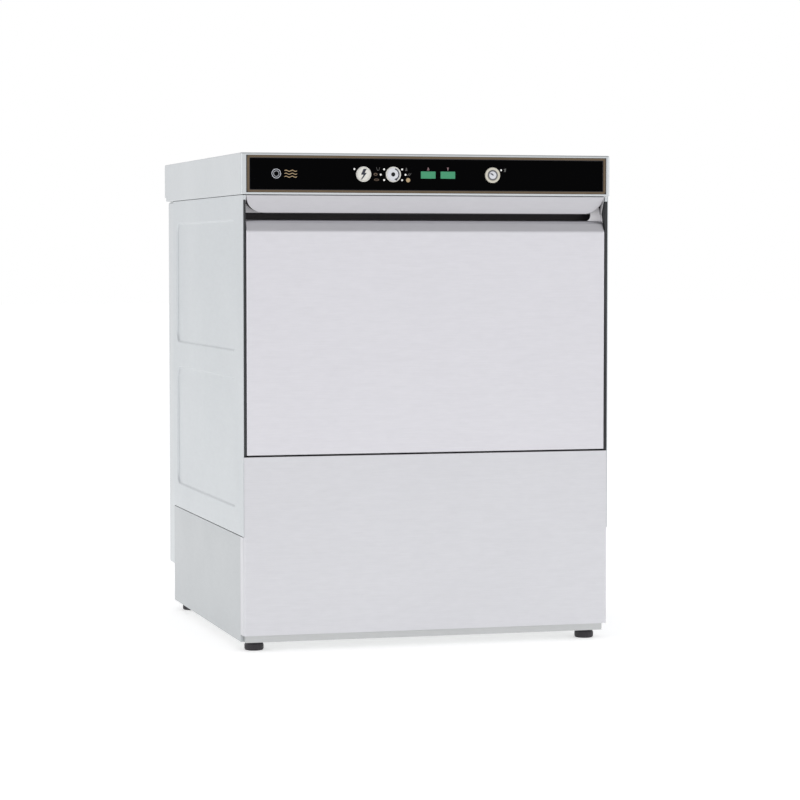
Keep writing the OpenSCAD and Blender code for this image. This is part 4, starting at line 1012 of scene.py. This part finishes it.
def finger_pocket():
    """Pocket behind the handle in near-black plastic, painted shade for its deep inside, with steel
    round the right-hand end of its mouth.
    """
    end_x, floor_z, back_d, roof_z = 284, 670, 43, LIP_TOP - 7
    groove_d, groove_z = GROOVE_FLOOR
    chain = filleted([(17.6, groove_z), (20.6, floor_z), (back_d, floor_z), (back_d, roof_z),
                      (13.5, roof_z)], 4)
    pocket = Form()
    pocket.strip(chain, -1.8, lambda i: end_x)
    pocket.piece("finger_pocket", "door", "grip_plastic", smooth=50)
    bend, wall = (end_x - 1, back_d - 10.4), 0.8
    bend_r = LIP_X - bend[0]
    curve = [(LIP_X, 18)] + arc(bend, bend_r, 0, 90, 10)
    curve += list(reversed(arc(bend, bend_r - wall, 0, 90, 10))) + [(LIP_X - wall, 18)]
    # Ends of the pocket in the same dark plastic: painted shade.
    for name, sign in (("left", -1), ("right", 1)):
        end = Form()
        end.loft([[at(sign * x, d, z) for x, d in curve] for z in (floor_z - 1, roof_z)],
                 True, True)
        end.piece("pocket_end_" + name, "door", "grip_plastic", smooth=50)
    mouth_end, mouth_r, rear_d = 276, 10, 21
    low, high = groove_z - 0.6, LIP_TIP[1] + 10
    lean = (rear_d - groove_d) / (high - low)
    outline = [(LIP_X, low), (LIP_X, high), (mouth_end, high)]
    outline += arc((mouth_end - mouth_r, low + mouth_r), mouth_r, 0, -90, 10)
    steel = Form()
    steel.plate(outline, [], lambda u, v, w: at(u, groove_d + lean * (v - low) + w, v), 0, wall)
    # This end plate takes the lighter steel too: painted light inside the pocket's mouth.
    steel.piece("mouth_end", "door", "front_steel", look="inner_steel_painted_light", smooth=50, bevel=0.2)


def door_liner():
    """Inner face of the door with a raised field, and its folded edges."""
    low, high = extent("door_liner")
    narrow, wide_z, face, skin_d = 272, 664, 50, 24
    outline = [(-narrow, low.z), (narrow, low.z), (narrow, wide_z), (LIP_X, wide_z),
               (LIP_X, high.z), (-LIP_X, high.z), (-LIP_X, wide_z), (-narrow, wide_z)]
    sheet = Form()
    sheet.pressed(outline, [((-240, 380), (240, 675))], lambda u, v, w: at(u, face - w, v),
                  -6, 5, 18, SHEET)
    sheet.piece("liner_sheet", "door", "chamber_steel", ["door_liner"], smooth=40)
    folds = Form()
    for sign in (-1, 1):
        folds.box(mirrored(sign, narrow - SHEET, narrow), (skin_d, face - SHEET),
                  (low.z + 0.1, wide_z))
    folds.box((-narrow, narrow), (skin_d, face - SHEET), (low.z, low.z + SHEET))
    folds.piece("liner_folds", "door", "chamber_steel", bevel=0.3)


def gasket():
    """Bulb seal round the mouth of the chamber."""
    low, high = extent("door_gasket")
    corner, back = 26, high.y
    profile = [(0, back), (0, 52.6), (1.6, 50.9), (4.2, low.y), (6.8, 50.9), (8.4, 52.2),
               (10, 52.9), (10, back)]
    form = Form()
    form.loft([[at(x, depth, z) for x, z in inset_rect(low, high, inset, corner - inset * 0.6, 8)]
               for inset, depth in profile], around=True)
    form.piece("seal_bulb", "cabinet", "seal_rubber", ["door_gasket"], smooth=50)


def springs():
    """Compression springs that the door's cables pull on, built at one length; the real ones shorten
    as the door opens.
    """
    start, end, travel = 143, 285, 53
    mean_r, wire, coils, sides = 7.5, 1.25, 14, 16
    axis_x, height = 277.5, 374
    steps = coils * sides
    for side, sign in (("left", -1), ("right", 1)):
        path = []
        for i in range(steps + 1):
            a = 2 * math.pi * i / sides
            share = 0.5 - 0.5 * math.cos(math.pi * i / steps)
            even = i / steps
            along = start + wire + (end - start - 2 * wire) * (0.25 * share + 0.75 * even)
            path.append(at(sign * (axis_x + mean_r * math.cos(a)), along,
                           height + mean_r * math.sin(a)))
        form = Form()
        form.sweep(path, wire, 8)
        replaced = ["door_springs"] if side == "left" else []
        spring = form.piece(side + "_spring", "cabinet", "spring_steel", replaced, smooth=60)
        at(0, start, 0)
        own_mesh(spring)


# --- wash chamber

def spray_arm(node, z, hub, bore, reach, width, along_x, nozzle_side):
    """Flat tapered tube with round ends, a turned hub and a row of nozzles."""
    centre = at(0, SPRAY_DEPTH, 0)
    half_h, middle = (z[1] - z[0]) / 2, (z[0] + z[1]) / 2
    tip, nozzles = 14, 4
    nozzle = [(4.6, 0), (4.6, 0.9), (3.9, 1.7), (2.6, 1.7), (1.9, 0.9), (0, 0.8)]

    def place(u, v, h):
        flat = Vector((u, v, 0)) if along_x else Vector((-v, u, 0))
        return centre + (flat + Vector((0, 0, h))) * MM

    tube = Form()
    ends = [reach - tip + tip * math.sin(math.radians(a)) for a in (0, 25, 45, 60, 72, 81, 87)]
    loops = []
    for u in [-s for s in reversed(ends)] + [-reach / 2, 0, reach / 2] + ends:
        over = max(0.0, (abs(u) - (reach - tip)) / tip)
        end = math.sqrt(max(0.02, 1 - over ** 2))
        half_w = (width / 2 - 3.5 * abs(u) / reach) * end
        h = half_h * (0.35 + 0.65 * end)
        loop = [(half_w * math.copysign(abs(math.cos(a)) ** 0.6, math.cos(a)),
                 h * math.copysign(abs(math.sin(a)) ** 0.8, math.sin(a))) for a in turns(24)]
        loops.append([place(u, v, middle + w) for v, w in loop])
    tube.loft(loops, True, True)
    tube.piece(node + "_tube", node, "arm_steel", [node], smooth=50)
    low, high = extent(node)
    turned = Form()
    turned.lathe([(bore, low.z), (hub - 1, low.z), (hub, low.z + 1), (hub, high.z - 1),
                  (hub - 1, high.z), (bore, high.z), (bore, low.z)], centre)
    face = z[1] if nozzle_side > 0 else z[0]
    for k in range(-nozzles, nozzles + 1):
        if k:
            foot = place(k * (reach - 20) / 4.2, 0, face - nozzle_side * 0.8)
            turned.lathe(nozzle, foot, (0, 0, nozzle_side), 20)
    turned.piece(node + "_hub", node, "arm_steel", smooth=40)


def spray_arms():
    for node, z, nozzle_side in (("lower_wash_arm", (325.5, 338.5), 1),
                                 ("lower_rinse_arm", (346.5, 354.5), 1),
                                 ("upper_wash_arm", (666.5, 678.5), -1),
                                 ("upper_rinse_arm", (652.5, 659.5), -1)):
        if "wash" in node:
            spray_arm(node, z, 22, 10.05, 235, 34, True, nozzle_side)
        else:
            spray_arm(node, z, 13, 6.05, 225, 16, False, nozzle_side)


def flat_ring(form, inner, outer, low, high, x):
    """Turned ring of square section round an upright axis at the spray arms' depth."""
    form.lathe([(inner, low), (outer, low), (outer, high), (inner, high), (inner, low)],
               at(x, SPRAY_DEPTH, 0))


def strainers():
    """Perforated trays over the tank, and the strainer cup in the right-hand one."""
    low, high = extent("tank_filters")
    sump_x, pitch, rim, floor = 95, 11, 3, low.z + 0.6
    size = (high.x - 2 * rim, high.y - low.y - 2 * rim)
    cells = (round(size[0] / pitch), round(size[1] / pitch))
    step = (size[0] / cells[0], size[1] / cells[1])
    for side, sign in (("left", -1), ("right", 1)):
        tray = Form()

        def spot(u, v):
            return sign * (rim + u * step[0]), low.y + rim + v * step[1]

        def clear(u, v):
            from_hub, from_sump = (math.dist(spot(u, v), (x, SPRAY_DEPTH)) for x in (0, sump_x))
            return from_hub > 24 and from_sump > 58

        tray.perforated(cells, lambda u, v, w: at(*spot(u, v), floor + w), 0.8, 0.3, clear)
        near, far = mirrored(sign, 1, high.x)
        outer = rounded_rect((near, low.y), (far, high.y), 3, 4)
        inner = rounded_rect((near + rim, low.y + rim), (far - rim, high.y - rim), 2, 4)
        tray.plate(outer, [inner], at, low.z, high.z)
        tray.piece(side + "_tray", "cabinet", "filter_steel",
                   ["tank_filters"] if sign < 0 else [], smooth=40)
    collars = Form()
    flat_ring(collars, 51, 62, low.z, low.z + 1.4, sump_x)
    flat_ring(collars, 17, 28, low.z, low.z + 1.4, 0)
    collars.piece("tray_collars", "cabinet", "filter_steel", smooth=40)
    cup_low, cup_high = extent("filter_basket")
    radius, count, rows = 50, 40, 12
    floor, top = cup_low.z, cup_high.z
    cup = Form()

    def around(u, v, w):
        a = 2 * math.pi * u / count
        r = radius - 0.6 - w
        z = floor + 2 + v * (top - floor - 6) / rows
        return at(sump_x + r * math.cos(a), SPRAY_DEPTH + r * math.sin(a), z)

    cup.perforated((count, rows), around, 0.6, 0.3)
    axis = at(sump_x, SPRAY_DEPTH, 0)
    cup.lathe([(49, top - 6), (radius, top - 6), (radius, top - 1.2), (54.4, top - 1.2),
               (55, top - 0.6), (54.4, top), (49.4, top), (48.9, top - 0.8), (49, top - 6)],
              axis, sides=64)
    cup.lathe([(15, floor), (radius, floor), (radius, floor + 2.4), (49, floor + 2.4),
               (49, floor + 1.2), (15, floor + 1.2), (15, floor)], axis, sides=64)
    cup.piece("strainer_cup", "cabinet", "filter_steel", ["filter_basket"], smooth=40)


# --- hoses

def spline(points, steps=10):
    """Smooth curve through the control points."""
    curve = []
    for i in range(len(points) - 1):
        a, b = points[max(i - 1, 0)], points[i]
        c, d = points[i + 1], points[min(i + 2, len(points) - 1)]
        for k in range(steps):
            t = k / steps
            curve.append(0.5 * (2 * b + (c - a) * t + (2 * a - 5 * b + 4 * c - d) * t ** 2
                                + (3 * b - a - 3 * c + d) * t ** 3))
    return curve + [points[-1]]


def hoses():
    """Ribbed hoses between the sump, the pumps, the boiler and the connections."""
    plate_y = 255.8
    routes = {
        "suction_hose": (13.6, [(56, 120, 100), (72, 120, 100), (88, 108, 106), (94, 80, 122),
                                (95, 40, 145), (95, 8, 168), (95, -10, 184), (95, -10, 199.5)]),
        "waste_hose": (8.6, [(40, -89, 60), (40, -60, 60), (10, -20, 60), (-60, 0, 60),
                             (-150, 10, 45), (-218, 60, 35), (-226, 150, 36), (-204, 195, 48),
                             (-200, 214, 50)]),
        "inlet_hose": (6.6, [(200, plate_y - 31, 50), (200, 205, 52), (190, 190, 66),
                             (170, 182, 100), (158, 120, 140), (155, 60, 142), (155, 40, 142)]),
    }
    for name, (radius, points) in routes.items():
        path = spline([Vector(p) * MM for p in points], 14)
        ribs = [radius * (1 + 0.045 * (-1) ** i) for i in range(len(path))]
        form = Form()
        form.sweep(path, ribs, 20)
        replaced = ["water_hoses"] if name == "suction_hose" else []
        form.piece(name, "cabinet", "hose_rubber", replaced, smooth=60)


# --- CAD nodes that stay

def dress_frame():
    """Each CAD node gets its material, and those with sheet edges that show get them eased."""
    eased = {
        "base_frame": 0.3, "front_lower_panel": 0.5, "left_base_panel": 0.35,
        "right_base_panel": 0.35, "rear_base_plate": 0.3, "door_edge_strips": 0.6,
        "front_frame": 0.3, "rack_rails": 0.4, "hinge_brackets": 0.4, "hinge_quadrants": 0.4,
        "spring_brackets": 0.4, "ceiling_duct": 0.3, "wash_pump_motor": 0.8, "boiler": 1.0,
        "electrical_box": 0.3, "dosing_pumps": 0.6, "drain_pump": 0.8, "rinse_pump": 0.8,
    }
    slots = {part["node"]: part["material_slot"] for part in frame["record"]["subparts"]}
    # The base panels take a darker copy of the steel: painted shade near the floor.
    looks = {"left_base_panel": "base_steel_painted_shade", "right_base_panel": "base_steel_painted_shade",
             # The lower front panel's darker copy of the door steel is painted shade.
             "base_frame": "plinth_steel", "front_lower_panel": "lower_panel_steel_painted_shade"}
    for name, node in frame["nodes"].items():
        node.data.materials.clear()
        node.data.materials.append(LOOKS[looks.get(name, slots[name])])
        if name in eased and not node.hide_render:
            weld = node.modifiers.new("weld", "WELD")
            weld.merge_threshold = 2e-6
            soften(node, eased[name])


make_camera()
make_world()
make_lights()
make_floor()
make_materials()

side_panels()
top_cover()
rear_cover()
screws()
connections()
feet()
bezel()
buttons()
lamps()
displays()
fascia_prints()
door_front()
handle()
door_liner()
gasket()
springs()
spray_arms()
strainers()
hoses()
dress_frame()
